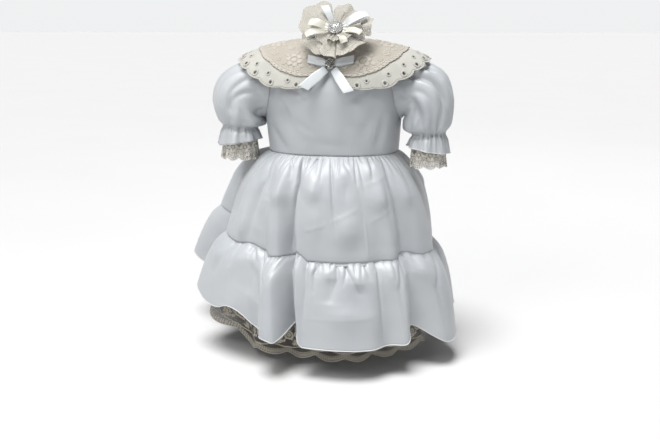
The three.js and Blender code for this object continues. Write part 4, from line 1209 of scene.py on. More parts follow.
def hem_lace_drawing(x, edge):
    total = border(x, edge, 2.9, [(0.4, 3.9), (4.5, 8.0)])
    arch = 12.0 + 3.4 * np.cos(2 * math.pi * x / HEM_REPEAT)
    total = np.maximum(total, inside(0.8 - np.abs(edge - arch)))
    for at, up, turn in (
        (3.0, 16.5, 0.3), (-9.0, 15.0, 2.9), (14.0, 15.5, 1.5), (-17.0, 20.0, 1.2)
    ):
        total = np.maximum(total, leaf(repeated(x, HEM_REPEAT, at), edge - up, 6.5, 1.5, turn))
    for kind, at, up, radius in HEM_FLOWERS:
        dx = repeated(x, HEM_REPEAT, at)
        total = np.maximum(
            total,
            ringed_rose(dx, edge - up, radius) if kind == "rose" else blossom(dx, edge - up, radius, 5)
        )
    for at, up, length, width, turn in zip(*HEM_LEAVES.values()):
        dx = repeated(x, HEM_REPEAT, at)
        total = np.maximum(total, leaf(dx, edge - up, length, width, turn))
        total = np.maximum(total, stem(dx, edge - up, turn + math.pi, 6.0, 0.5))
    return total


CUFF_REPEAT = 158.0 / 9


def cuff_lace_drawing(x, edge):
    total = border(x, edge, 2.6, [(0.4, 3.6), (8.6, 11.4)])
    for at in (0.0, 4.4, 8.8, 13.2):
        total = np.maximum(total, leaf(repeated(x, CUFF_REPEAT, at), edge - 4.4, 4.0, 1.3, 1.57))
    total = np.maximum(total, blossom(repeated(x, CUFF_REPEAT), edge - 19.5, 6.6, 6))
    total = np.maximum(total, blossom(repeated(x, CUFF_REPEAT, CUFF_REPEAT / 2), edge - 29, 5.0, 5))
    total = np.maximum(total, inside(0.9 - np.abs(edge - 13.0)))
    for turn in (0.7, 2.4):
        total = np.maximum(
            total, leaf(repeated(x, CUFF_REPEAT, CUFF_REPEAT / 2), edge - 15, 7.0, 1.7, turn)
        )
    return total


print("hem lace repeat in mm:", HEM_REPEAT)

# %% Underskirt and laces


def underskirt_surface(degrees, down):
    return hanging(UNDERSKIRT_RINGS, UNDERSKIRT_FOLDS, UNDERSKIRT_LIFTS, None, degrees, down, 0.0)


def build_underskirt():
    gap = SEAM_GAP / 287
    for half, (start, end) in {"front": (180.06, 359.94), "back": (0.06, 179.94)}.items():
        degrees = steps(start, end, 130)[:, None]
        down = steps(0, HEM_LACE_AT - gap, 24)[None, :]
        grid = underskirt_surface(degrees, down)
        ripples = (
            smooth_noise(degrees, down, ((40, 3, 0.2), (29, -4, 1.1), (17, 2, 2.0)), 0.35)
            * (1 - 0.5 * down)
        )
        piece = cloth(
            f"underskirt_{half}_satin", grid + normals_of(grid) * (ripples[..., None] - 0.4), 0.6
        )
        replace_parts(piece, f"underskirt_{half}")


HEM_SCALLOPS = 21
HEM_LACE_DEPTH = 57.0


def hem_lace_surface(degrees, down):
    grid = underskirt_surface(degrees, down)
    share = (down - HEM_LACE_AT) / (1 - HEM_LACE_AT)
    grid[..., 2] -= (
        7 * np.abs(np.cos(np.radians(HEM_SCALLOPS * degrees / 2))) * np.maximum(0, share)
    )
    return grid


def build_hem_lace():
    gap = SEAM_GAP / 287
    for half, (start, end) in {"front": (180.06, 359.94), "back": (0.06, 179.94)}.items():
        degrees = steps(start, end, 600 if half == "front" else 340)[:, None]
        down = steps(HEM_LACE_AT + gap, 1, 72 if half == "front" else 46)[None, :]
        grid = hem_lace_surface(degrees, down)
        along = degrees * HEM_SCALLOPS / 360 * HEM_REPEAT
        share = (down - HEM_LACE_AT) / (1 - HEM_LACE_AT)
        along, edge = np.broadcast_arrays(along, (1 - share) * HEM_LACE_DEPTH)
        drawing = hem_lace_drawing(along, edge)
        ripple = 0.8 * np.sin(along / 5.1) * np.clip(1 - edge / 30, 0, 1)
        grid = grid + normals_of(grid) * ripple[..., None]
        piece = cloth(
            f"underskirt_lace_{half}_net", grid, 0, uvs=stack(along, edge, 0)[..., :2],
            values={"drawing": drawing}
        )
        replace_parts(piece, f"underskirt_lace_{half}")


CUFF_SCALLOPS = 9
CUFF_LACE_DEPTH = 42.0


def cuff_lace_surface(side, degrees, down):
    wave = (
        1.5 * down * np.cos(np.radians(5 * degrees))
        + 1.6 * np.sin(np.radians(14 * degrees + 30)) * down
    )
    drop = 4 * down * np.abs(np.cos(np.radians(CUFF_SCALLOPS * degrees / 2)))
    return sleeve_ring(CUFF_LACE_RINGS, side, degrees, down, wave, drop)


def build_cuff_lace(side):
    degrees = steps(0, 360, 226)[:, None]
    down = steps(0, 1, 54)[None, :]
    grid = cuff_lace_surface(side, degrees, down)
    along, edge = np.broadcast_arrays(
        degrees / 360 * CUFF_REPEAT * CUFF_SCALLOPS, (1 - down) * CUFF_LACE_DEPTH
    )
    drawing = cuff_lace_drawing(along, edge)
    order = slice(None, None, side["sign"])
    uvs = stack(along, edge, 0)[..., :2][order]
    piece = cloth(
        f"cuff_lace_{side['name']}_net", grid[order], 0, uvs=uvs, values={"drawing": drawing[order]}
    )
    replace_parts(piece, f"cuff_lace_{side['name']}")


build_underskirt()
build_hem_lace()
for side in SIDES:
    build_cuff_lace(side)
print("lace pieces:", [name for name in PIECES if "lace" in name])

# %% [markdown]
# ## The collars
# The lower collar is cotton with padded eyelets: real holes, each bound by a thick ring of satin
# stitch, over a corded edge of scallops. The upper one is guipure, a heavy lace whose flowers stand
# up from a mesh of small holes. Its flowers are real relief, because side light shows them. Both
# edges come from the same rule as the solids, so each scallop lies on its solid's scallop.

# %% Collars
EYELET = {"scallops": 12, "depth": 0.045, "full": 1.0}
GUIPURE = {"scallops": 9, "depth": 0.02, "full": 0.66}
PICOTS = 45


def collar_degrees(side, share, down):
    front = 4 + 13 * down
    return -90 + side["sign"] * (front + (178.5 - front) * share)


def collar_reach(share, full):
    front = 0.22 * np.exp(-((share * 180 / 13) ** 2))
    back = 0.12 * np.exp(-(((1 - share) * 180 / 8) ** 2))
    return full * (1 - front - back)


def collar_edge(share, kind, rounding=1.0):
    scallop = np.abs(np.sin(math.pi * share * kind["scallops"])) ** rounding
    return collar_reach(share, kind["full"]) - kind["depth"] * (1 - scallop)


def collar_point(side, share, down):
    return draped(COLLAR_RINGS, collar_degrees(side, share, down), down)


def collar_lift(share, down):
    """The collar isn't pressed flat: it waves a little more towards its edge."""
    return 1.1 * down**2 * (0.5 + 0.5 * np.sin(share * 61 + 1) * np.sin(share * 23 + 1))


def collar_grid(side, kind, along, across, lift, bunch=0.75, picots=0.0):
    share = steps(0, 1, along)[:, None]
    edge = collar_edge(share, kind, 0.75) - picots * (1 - np.abs(np.sin(math.pi * share * PICOTS)))
    down = edge * steps(0, 1, across)[None, :] ** bunch
    grid = collar_point(side, share, down)
    share = np.broadcast_to(share, down.shape)
    if side["sign"] < 0:
        grid, share, down = grid[::-1], share[::-1], down[::-1]
    normals = normals_of(grid)
    return grid + normals * (lift + collar_lift(share, down))[..., None], share, down, normals


def local_frames(side, places, lift):
    """A middle, a direction along, one outward and a normal for each place on the collar."""
    frames = []
    for share, down in places:
        share, down = np.array(float(share)), np.array(float(down))
        middle = collar_point(side, share, down)
        along = collar_point(side, share + 0.004, down) - collar_point(side, share - 0.004, down)
        outward = collar_point(side, share, down + 0.01) - collar_point(side, share, down - 0.01)
        along = along / np.linalg.norm(along)
        normal = np.cross(outward, along)
        normal = normal / np.linalg.norm(normal) * (1 if normal[2] > 0 else -1)
        outward = np.cross(normal, along) * (
            1 if np.dot(np.cross(normal, along), outward) > 0 else -1
        )
        frames.append(
            (middle + normal * (lift + float(collar_lift(share, down))), along, outward, normal)
        )
    return frames


def eyelet_places():
    outer = [
        ((k + 0.5) / 12, collar_reach((k + 0.5) / 12, 1.0) - 0.085, 2.2, 1.55) for k in range(12)
    ]
    inner = [(k / 12, collar_reach(k / 12, 1.0) - 0.20, 1.6, 1.1) for k in range(1, 12)]
    return outer + inner


def build_eyelet_collar(side):
    grid, share, down, normals = collar_grid(side, EYELET, 256, 50, LACE_MM)
    holes = eyelet_places()
    frames = local_frames(side, [(hole[0], hole[1]) for hole in holes], LACE_MM)
    faces = grid_faces(*grid.shape[:2])
    points = grid.reshape(-1, 3)
    gone = np.zeros(len(points), bool)
    rings = []
    turn = steps(0, 2 * math.pi, 25)[:-1, None]
    for (middle, along, outward, normal), (_, _, radius, thread) in zip(frames, holes):
        gone |= np.linalg.norm(points - middle, axis=1) < radius + 0.45
        line = (
            middle
            + (radius + thread) * (along * np.cos(turn) * 0.94 + outward * np.sin(turn) * 1.06)
            + normal * 0.25
        )
        rings.append(tube(line, thread, 8, closed=True, squash=0.62, up=normal))
    keep = ~gone[faces].any(axis=1)
    piece = cloth(f"collar_eyelet_{side['name']}_cotton", grid, 0.7, faces=faces[keep])
    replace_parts(piece, f"collar_eyelet_{side['name']}")
    mesh_piece(f"collar_eyelet_{side['name']}_padded_rings", *joined(rings))
    border_line = np.concatenate([grid[0, 20:], grid[1:-1, -1], grid[-1, 20:][::-1]])
    cords = [tube(border_line, 0.95, 7, squash=0.75, up=(0, 0.1, 1))]
    inset = collar_edge(share[:, -1], EYELET, 0.75) - 0.030
    lift = LACE_MM + collar_lift(share[:, -1], inset) + 0.15
    inner = collar_point(side, share[:, -1], inset) + normals[:, -1] * lift[:, None]
    cords.append(tube(inner[4:-4], 0.42, 5, up=(0, 0.1, 1)))
    mesh_piece(f"collar_eyelet_{side['name']}_corded_edge", *joined(cords))


# The guipure's flowers: share along the half collar, place down it, radius, petals, turn
GUIPURE_FLOWERS = table(
    "share down radius petals turn",
    (0.16, 0.36, 12.0, 6, 0.3),
    (0.40, 0.36, 12.5, 6, 0.0),
    (0.64, 0.36, 12.5, 6, 0.5),
    (0.87, 0.36, 12.0, 6, 0.2),
    (0.28, 0.47, 6.0, 5, 0.1),
    (0.52, 0.47, 6.5, 5, 0.6),
    (0.76, 0.47, 6.5, 5, 0.9),
    (0.06, 0.30, 6.0, 5, 0.4),
    (0.28, 0.22, 5.0, 5, 0.4),
    (0.52, 0.20, 5.0, 5, 0.2),
    (0.76, 0.22, 5.0, 5, 0.8),
    (0.955, 0.46, 5.0, 5, 0.8),
    (0.22, 0.10, 4.5, 5, 0.0),
    (0.34, 0.12, 4.5, 5, 0.5),
    (0.46, 0.09, 4.5, 5, 0.3),
    (0.58, 0.12, 4.5, 5, 0.9),
    (0.70, 0.10, 4.5, 5, 0.2),
    (0.82, 0.12, 4.5, 5, 0.7),
    (0.34, 0.51, 4.2, 5, 0.4),
    (0.46, 0.52, 4.2, 5, 0.0),
    (0.58, 0.52, 4.2, 5, 0.8),
    (0.70, 0.52, 4.2, 5, 0.3),
    (0.22, 0.50, 4.2, 5, 0.6),
    (0.82, 0.52, 4.2, 5, 0.1),
    (0.10, 0.47, 4.0, 5, 0.2),
)


def guipure_drawing(side, points, share, edge_mm):
    total = np.zeros(share.shape)
    relief = np.zeros(share.shape)
    rows = list(zip(*GUIPURE_FLOWERS.values()))
    frames = local_frames(side, [(row[0], row[1]) for row in rows], 3.4)
    for (middle, along, outward, normal), (_, _, radius, petals, turn) in zip(frames, rows):
        x, y = (points - middle) @ along, (points - middle) @ outward
        flat = np.abs((points - middle) @ normal) < 25
        flower = blossom(x, y, radius, petals, turn) * flat
        away = np.hypot(x, y)
        dome = (
            np.sqrt(np.clip(away / radius, 0, 1)) * np.clip(1.15 - (away / radius) ** 3, 0, 1)
            + 0.9 * np.exp(-((away / (0.16 * radius)) ** 2))
        )
        relief = np.maximum(relief, flower * (0.35 + 0.95 * dome) * (0.55 + radius / 24))
        total = np.maximum(total, flower)
        if radius > 8:
            for k in range(int(petals)):
                a = turn + math.pi / petals + 2 * math.pi * k / petals
                root_x, root_y = x - math.cos(a) * radius * 0.86, y - math.sin(a) * radius * 0.86
                one = leaf(root_x, root_y, 9.5, 2.6, a + 0.35) * flat
                total = np.maximum(total, one)
                relief = np.maximum(relief, 0.75 * one)
    along_mm = share * 330
    rim = border(along_mm, edge_mm, 330 / PICOTS, [(0.0, 4.4)])
    inner_rim = inside(0.8 - np.abs(edge_mm - 6.4))
    total = np.maximum(total, np.maximum(rim, inner_rim))
    return total, np.maximum(relief, 0.42 * np.maximum(rim, inner_rim))


def build_guipure_collar(side):
    grid, share, down, normals = collar_grid(side, GUIPURE, 380, 78, 2.3, picots=0.012)
    width = np.linalg.norm(grid[:, -1] - grid[:, 0], axis=1)[:, None]
    edge_mm = np.clip((1 - down / down[:, -1:]) * width, 0, None)
    drawing, relief = guipure_drawing(side, grid, share, edge_mm)
    grid = grid + normals * (1.05 * relief)[..., None]
    uvs = stack(share * 330, edge_mm, 0)[..., :2]
    values = {"drawing": drawing, "relief": relief}
    piece = cloth(f"collar_guipure_{side['name']}_lace", grid, 0, uvs=uvs, values=values)
    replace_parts(piece, f"collar_guipure_{side['name']}")
    mesh_piece(
        f"collar_guipure_{side['name']}_edge_cord", *tube(grid[:, -1], 0.5, 6, up=(0, 0.1, 1))
    )


for side in SIDES:
    build_eyelet_collar(side)
    build_guipure_collar(side)
print("collar pieces:", [name for name in PIECES if "collar" in name])

# %% [markdown]
# ## The bow and its brooch
# Narrow double-faced satin ribbon, tied flat: two loops pressed nearly shut and two tails cut on the
# slant. The ribbon has a fine woven selvedge, which catches the light as a thin line. On the knot
# sits a flower of dark grey stones in claws.

# %% Bow
BOW = {"knot": (3.5, -59.8, -29.9), "lean": 35.0}


def bow_frame():
    lean = math.radians(BOW["lean"])
    up = np.array([0, math.sin(lean), math.cos(lean)])
    return np.array(BOW["knot"]), up, np.array([0, -math.cos(lean), math.sin(lean)])


def strip(middles, across, widths, count=11, dish=0.0, slant=0.0):
    """A ribbon along its middle line. dish bows it across, slant cuts its far end at an angle."""
    share = steps(-0.5, 0.5, count)[None, :, None]
    across = across / np.linalg.norm(across, axis=1, keepdims=True)
    grid = middles[:, None] + across[:, None] * np.asarray(widths)[:, None, None] * share
    if slant:
        ahead = middles[-1] - middles[-2]
        ahead = ahead / np.linalg.norm(ahead)
        tail = np.clip(np.linspace(-4, 1, len(middles)), 0, 1)[:, None, None]
        grid = grid + ahead * slant * share * 2 * tail
    normals = normals_of(grid)
    return grid + normals * (dish * (1 - 4 * share**2))


def ribbon_uv(grid):
    uvs = cloth_uv(grid)
    uvs[..., 1] = np.linspace(0, 1, grid.shape[1])[None, :] * 12
    return uvs


def ribbon(name, grid, node):
    piece = cloth(name, grid, 0.45, uvs=ribbon_uv(grid))
    piece.modifiers["thickness"].offset = 0
    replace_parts(piece, node)
    return piece


def build_bow():
    knot, up, out = bow_frame()
    for name, sign in (("right", -1), ("left", 1)):
        turn = steps(0, 2 * math.pi, 81)
        reach = 4 + 29 * (0.5 - 0.5 * np.cos(turn))
        spread = 1.6 + 3 * np.sin(turn / 2)
        middles = (
            knot + up * (9 * reach / 33)[:, None]
            + out * (2.2 + spread / 2 * np.cos(turn / 2))[:, None]
        )
        middles[:, 0] += sign * reach
        pinch = 1 - 0.5 * np.exp(-(((reach - 4) / 6.0) ** 2))
        grid = strip(middles, np.tile(up * sign, (81, 1)), 13 * pinch, 13, dish=0.3)
        crumple = (
            0.5 * np.exp(-(((reach - 4) / 11) ** 2))[:, None] * np.cos(steps(-9, 9, 13))[None, :]
        )
        grid = grid + normals_of(grid) * crumple[..., None]
        ribbon(f"bow_loop_{name}_satin", grid, f"bow_loop_{name}")
    for name, end in (("right", (-31, -86, -60)), ("left", (33, -86, -65))):
        start = knot - up * 7.2 + out * 1.5
        start[0] += math.copysign(5.6, end[0])
        share = steps(0, 1, 61)
        middles = start + (np.array(end) - start) * share[:, None]
        middles[:, 1] -= 3 * np.sin(math.pi * share) + 0.5 * np.sin(share * 9)
        along = np.array(end) - start
        across = np.tile([-along[2], 0, along[0]], (61, 1)).astype(float)
        widths = 10.5 + 3.5 * np.clip(share * 2.5, 0, 1)
        grid = strip(middles, across, widths, 13, dish=-0.4, slant=3.0 if name == "left" else -3.0)
        ribbon(f"bow_tail_{name}_satin", grid, f"bow_tail_{name}")
    turn = steps(0, 2 * math.pi, 41)[:, None]
    wrap = steps(-0.5, 0.5, 9)[None, :]
    grid = stack(
        3.4 * np.cos(turn) + 0 * wrap, 2.0 * np.sin(turn) + 0 * wrap,
        11 * wrap * (1 - 0.12 * np.cos(turn))
    )
    turned = (
        knot + grid[..., 2:] * up + grid[..., :1] * np.array([1.0, 0, 0])
        + (grid[..., 1:2] + 1.2) * out
    )
    piece = cloth("bow_knot_satin", turned[:, ::-1], 0.4, uvs=ribbon_uv(turned))
    return piece


build_bow()

# %% Stones


def stone(radius, height, sides=8):
    """A round cut stone: a flat table, a ring of slanted facets and a girdle."""
    rings = [
        (0.0, height), (0.52 * radius, height), (radius, 0.35 * height), (radius, 0.0),
        (0.4 * radius, -0.3 * height)
    ]
    points, faces, uvs = lathe(rings, sides)
    points[:sides] += np.random.default_rng(5).normal(0, 0.002, (sides, 3))
    return points, faces[:, ::-1], uvs


def flat_shaded(piece):
    piece.data.polygons.foreach_set("use_smooth", np.zeros(len(piece.data.polygons), bool))
    return piece


def cluster(rings, dome):
    """Middles of the stones, in rows of rings: each row is (how many, distance, turn)."""
    places = []
    for count, distance, turn in rings:
        for k in range(count):
            a = turn + 2 * math.pi * k / max(count, 1)
            places.append(
                (distance * math.cos(a), distance * math.sin(a), dome * (1 - (distance / 12) ** 2), a)
            )
    return places


def set_stones(
    name, setting_name, middle, right, up, out, rings, radius, height, dome, base_radius, node
):
    stones, metal = [], []
    points, faces, uvs = stone(radius, height)
    ball, ball_faces, ball_uvs = lathe([(0.01, 0.32), (0.24, 0.2), (0.32, 0), (0.2, -0.3)], 6)
    for x, y, z, a in cluster(rings, dome):
        spin = Matrix.Rotation(a * 1.7, 3, "Z")
        tilted = Matrix.Rotation(
            math.hypot(x, y) / 26, 3, Vector((-y, x, 0)) if (x or y) else Vector((0, 0, 1))
        )
        turned = points @ np.array(spin).T @ np.array(tilted).T + np.array([x, y, z])
        stones.append((stood_on(turned, middle, right, up, out), faces, uvs))
        for k in range(4):
            b = a + math.pi / 4 + k * math.pi / 2
            claw = ball + np.array(
                [x + radius * 1.02 * math.cos(b), y + radius * 1.02 * math.sin(b), z + 0.3 * height]
            )
            metal.append((stood_on(claw, middle, right, up, out), ball_faces[:, ::-1], ball_uvs))
    profile = [
        (0.01, -0.8), (base_radius * 0.9, -0.8), (base_radius, -0.2), (base_radius * 0.92, 0.5),
        (0.01, dome + 0.1)
    ]
    plate, plate_faces, plate_uvs = lathe(profile, 36)
    metal.append((stood_on(plate, middle, right, up, out), plate_faces[:, ::-1], plate_uvs))
    gems = flat_shaded(mesh_piece(name, *joined(stones)))
    setting = mesh_piece(setting_name, *joined(metal))
    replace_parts(gems, node)
    return gems, setting


def build_brooch():
    knot, up, out = bow_frame()
    rings = [(1, 0, 0), (6, 3.1, 0.26), (6, 6.2, 0.26), (6, 5.6, 0.785)]
    right = np.array([1.0, 0, 0])
    set_stones(
        "brooch_stones", "brooch_setting", knot + out * 4.9, right, up, out, rings, radius=1.42,
        height=1.3, dome=1.1, base_radius=5.6, node="brooch"
    )


build_brooch()
print("bow pieces:", [name for name in PIECES if "bow" in name or "brooch" in name])

# %% [markdown]
# ## The rosette
# Six fans of gathered lace make a flower, with ribbon loops over them and a round cluster of clear
# stones at the heart. A fan is not a flat petal: its free edge is far longer than its gathered root,
# so the edge waves up and down. Each fan has a shorter frill on top, as two rows of lace were drawn
# up on one thread. The loops are ribbon laid out and back, pressed almost flat.

# %% Rosette
ROSETTE = {"middle": (9.0, -42.0, 17.0), "lean": 38.0}
# frill is how much a fan's edge waves, folds how often, and top how far its second row reaches
PETALS = table(
    "at half_angle reach cup frill folds top",
    (68, 31, 44, 5, 0.5, 3.6, 0.62),
    (10, 28, 54, 6, 1.9, 5.2, 0.70),
    (322, 25, 50, 4, 2.0, 4.4, 0.60),
    (272, 29, 50, 5, 2.3, 3.7, 0.50),
    (216, 29, 52, 6, 1.9, 4.1, 0.62),
    (146, 41, 57, 4, 0.35, 2.6, 0.56),
)
RIBBONS = table(
    "at reach width layer flare loop",
    (118, 40, 9, 0, 10.5, 0),
    (25, 48, 10, 0, 13, 1),
    (341, 40, 10, 1, 12, 1),
    (299, 33, 8, 0, 10, 1),
    (202, 44, 8, 0, 11, 1),
    (172, 38, 13, 1, 17, 1),
)


def rosette_world(points):
    """From the rosette's own frame, x right, y up its face, z out of it, to the gown's."""
    turn = math.radians(90 - ROSETTE["lean"])
    x, y, z = points[..., 0], points[..., 1], points[..., 2]
    turned = np.stack(
        [x, y * math.cos(turn) - z * math.sin(turn), y * math.sin(turn) + z * math.cos(turn)], -1
    )
    return turned + np.array(ROSETTE["middle"])


def fan_surface(k, share, along, size, lift, folds):
    half, reach, cup, at, frill = (
        PETALS[key][k] for key in ("half_angle", "reach", "cup", "at", "frill")
    )
    width = half * (0.55 + 0.45 * np.minimum(1, along * 1.6)) * 1.08
    drift = share + 0.22 * np.sin(3.1 * share + 1.9 * k)
    wobble = 2.6 * frill * np.sin(folds * drift + k) * along
    angle = np.radians(at + width * share + wobble)
    edge = 1 - 0.16 * share**2 + 0.03 * np.cos(share * 9)
    radius = 5 + (reach * size * edge - 5) * along
    curl = cup * along**2 * (0.6 - 1.2 * share**2)
    crimp = 1.2 * np.cos(share * 7.5) + 1.9 * frill * np.sin(folds * drift + 1.7 * k)
    crimp = crimp + 0.8 * frill * np.sin(2.3 * folds * drift + 0.9 * k + 2.2 * along)
    layer = 0.5 * (k % 3)
    return stack(
        radius * np.cos(angle), radius * np.sin(angle),
        3.2 + layer + lift + curl + crimp * along**1.2
    )


def fan_drawing(x, edge):
    total = border(x, edge, 2.9, [(0.0, 3.4), (4.4, 7.4)])
    total = np.maximum(total, inside(0.7 - np.abs(edge - 9.2)))
    for at, up, radius, petals in (
        (0.0, 16.0, 5.0, 6), (9.0, 23.0, 4.2, 5), (0.0, 31.0, 4.4, 5), (9.0, 38.0, 4.0, 5)
    ):
        total = np.maximum(total, blossom(repeated(x, 18.0, at), edge - up, radius, petals))
    return total


def build_fans():
    for k in range(len(PETALS["at"])):
        parts = []
        drawings = []
        folds, top = PETALS["folds"][k], PETALS["top"][k]
        for size, lift, folds, count, rows in (
            (1.0, 0.0, folds, 96, 42), (top, 2.4, folds + 2.5, 78, 30)
        ):
            share = steps(-1, 1, count)[:, None]
            along = steps(0, 1, rows)[None, :]
            scallop = 1 - 0.022 * (1 - np.abs(np.sin(share * 24)))
            grid = rosette_world(fan_surface(k, share, along * scallop, size, lift, folds))
            reach = PETALS["reach"][k] * size
            run = np.radians(PETALS["half_angle"][k]) * reach * 1.25 * share
            x, edge = np.broadcast_arrays(run, (1 - along) * (reach - 5))
            parts.append(
                (grid.reshape(-1, 3), grid_faces(count, rows), stack(x, edge, 0)[..., :2].reshape(-1, 2))
            )
            drawings.append(fan_drawing(x, edge).ravel())
        piece = mesh_piece(
            f"rosette_petal_{k + 1}_lace", *joined(parts), {"drawing": np.concatenate(drawings)}
        )
        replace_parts(piece, f"rosette_petal_{k + 1}")


def build_rosette_ribbons():
    for k in range(len(RIBBONS["at"])):
        at, reach, width, layer, flare, loop = (
            RIBBONS[key][k] for key in ("at", "reach", "width", "layer", "flare", "loop")
        )
        turn = steps(0, 2 * math.pi if loop else math.pi, 81)
        share = 0.5 - 0.5 * np.cos(turn) if loop else turn / math.pi
        distance = 6 + (reach - 6) * share
        climb = np.maximum(0, (distance - 15) / (reach - 15))
        height = 5.2 + 1.4 * layer + 8.5 * np.sin(math.pi * 0.7 * climb)
        height = height + (
            0.9 * np.cos(turn / 2) + 1.3 * np.cos(turn / 2) * np.sin(math.pi * share) if loop
            else 0.3
        )
        a = math.radians(at)
        twist = 0.35 * np.sin(share * 3 + k) if loop else 0.1 * share
        sideways = (1.6 * share**2 * np.cos(turn / 2) if loop else 0.0) * (1 if k % 2 else -1)
        middles = np.stack(
            [
                distance * math.cos(a) - sideways * math.sin(a),
                distance * math.sin(a) + sideways * math.cos(a),
                height,
            ],
            -1,
        )
        across = np.stack(
            [-math.sin(a) * np.cos(twist), math.cos(a) * np.cos(twist), np.sin(twist)], -1
        )
        spread = 5.5 + (flare - 5.5) * np.clip(share * 1.5, 0, 1) ** 0.8
        grid = strip(middles, across, spread, 13, dish=0.5, slant=0 if loop else 3.0)
        crumple = (
            0.55 * np.exp(-(((distance - 6) / 10) ** 2))[:, None]
            * np.cos(steps(-8, 8, 13))[None, :]
        )
        grid = grid + normals_of(grid) * crumple[..., None]
        ribbon(f"rosette_ribbon_{k + 1}_satin", rosette_world(grid), f"rosette_ribbon_{k + 1}")


def build_jewel():
    origin = rosette_world(np.array([0.0, 0.0, 8.6]))
    right = rosette_world(np.array([1.0, 0.0, 8.6])) - origin
    up = rosette_world(np.array([0.0, 1.0, 8.6])) - origin
    out = rosette_world(np.array([0.0, 0.0, 9.6])) - origin
    rings = [(1, 0, 0), (6, 2.55, 0.2), (12, 5.0, 0.1), (18, 7.45, 0.3), (24, 9.8, 0.0)]
    set_stones(
        "rosette_jewel_stones", "rosette_jewel_setting", origin, right, up, out, rings, radius=1.18,
        height=1.0, dome=2.2, base_radius=10.6, node="rosette_jewel"
    )


def build_backing():
    lean = math.radians(ROSETTE["lean"])
    x, y, z = ROSETTE["middle"]
    behind = 1.6 / 2 - 1.9

    def face(up):
        return (
            x, y + up * math.sin(lean) + behind * math.cos(lean),
            z + up * math.cos(lean) - behind * math.sin(lean)
        )

    middles = np.array(
        [(4.5, -39.3, -24), (4.5, -39.3, -10), (7.2, -40.8, 2), face(-8), face(0), face(12)], float
    )
    run = np.concatenate([[0], np.cumsum(np.linalg.norm(np.diff(middles, axis=0), axis=1))])
    fine = steps(0, run[-1], 60)
    line = np.stack([np.interp(fine, run, middles[:, axis]) for axis in range(3)], -1)
    width = 14 - 3.0 * np.clip((fine - run[-1] + 5) / 5, 0, 1) ** 2
    grid = strip(line, np.tile([1.0, 0, 0], (60, 1)), width, 15)
    fuzz = np.random.default_rng(3).normal(0, 0.05, grid.shape[:2])
    piece = cloth("rosette_backing_felt", grid + normals_of(grid) * fuzz[..., None], 1.6)
    piece.modifiers["thickness"].offset = 0
    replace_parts(piece, "rosette_backing")
    stitches = []
    for k in range(5):
        place = np.array([4.5 - 6 + 3 * k, -40.3, -22.0])
        stitches.append(
            tube(
                np.array(
                    [place, place + np.array([0.6, -0.3, -1.2]), place + np.array([1.2, 0, -2.4])]
                ),
                0.22, 5, up=(1, 0, 0)
            )
        )
    mesh_piece("rosette_backing_stitches", *joined(stitches))


build_fans()
build_rosette_ribbons()
build_jewel()
build_backing()
print("rosette pieces:", [name for name in PIECES if "rosette" in name])

# %% [markdown]
# ## Finishes
# Each finish is built from what the real cloth is. One function adds a node, sets it and links it.
# Patterns run on the UV map, which is in millimetres of cloth, so a thread spacing is typed in as
# it is. Colours are sRGB hex values, and one function turns them to linear. They are darker than
# the white cloth looks in the picture: the light from above is strong, and a paler value would
# burn out and lose the folds.

# %% Node tools


def linear(hex_colour):
    value = hex_colour.lstrip("#")
    parts = [int(value[k : k + 2], 16) / 255 for k in (0, 2, 4)]
    return (*(p / 12.92 if p <= 0.04045 else ((p + 0.055) / 1.055) ** 2.4 for p in parts), 1.0)


def add(tree, kind, inputs=None, **settings):
    """One node: settings are its properties, inputs are values or sockets to link from."""
    node = tree.nodes.new("ShaderNode" + kind)
    for key, value in settings.items():
        setattr(node, key, value)
    for key, value in (inputs or {}).items():
        if isinstance(value, bpy.types.NodeSocket):
            tree.links.new(value, node.inputs[key])
        else:
            node.inputs[key].default_value = value
    return node


def finish(name, **shader_values):
    material = bpy.data.materials.new(name)
    material.use_nodes = True
    shader = material.node_tree.nodes["Principled BSDF"]
    for key, value in shader_values.items():
        shader.inputs[key.replace("_", " ")].default_value = value
    return material, material.node_tree, shader


def cloth_place(tree):
    return add(tree, "UVMap", uv_map="cloth_mm").outputs["UV"]


def two_tone(tree, factor, first, second):
    ramp = add(tree, "ValToRGB", {"Fac": factor})
    ramp.color_ramp.elements[0].color = linear(first)
    ramp.color_ramp.elements[1].color = linear(second)
    return ramp


def wear_noise(tree, size_mm, detail=3.0):
    """Slow unevenness over the whole gown, in object space, where 1 unit is a metre."""
    where = add(tree, "TexCoord").outputs["Object"]
    return add(
        tree, "TexNoise", {"Vector": where, "Scale": 1000 / size_mm, "Detail": detail}
    ).outputs["Fac"]


def ribs(tree, place, pitch_mm, direction):
    """Evenly spaced threads, from 0 between them to 1 on them."""
    wave = {"Vector": place, "Scale": math.pi / (10 * pitch_mm), "Distortion": 0.6, "Detail": 1.0}
    return add(tree, "TexWave", wave, bands_direction=direction).outputs["Fac"]


def bumped(tree, shader, heights):
    """Stacks bumps: each is (height socket, strength, depth in millimetres)."""
    normal = None
    for height, strength, depth_mm in heights:
        inputs = {"Height": height, "Strength": strength, "Distance": depth_mm / 1000}
        if normal is not None:
            inputs["Normal"] = normal
        normal = add(tree, "Bump", inputs).outputs["Normal"]
    tree.links.new(normal, shader.inputs["Normal"])


print("satin's colour in light:", [round(v, 3) for v in linear("#aeb1b4")[:3]])

# %% [markdown]
# ### Satin
# Polyester duchess satin: long floats of warp lie on top, so it is smooth, with a broad soft
# highlight and a cool shade. The floats run down the cloth, about 0.25 mm apart. They are drawn at
# 0.5 mm, as finer ones would only flicker. The cloth is white, and a slow change between two close
# greys keeps it from being one flat colour.

# %% Satin finishes


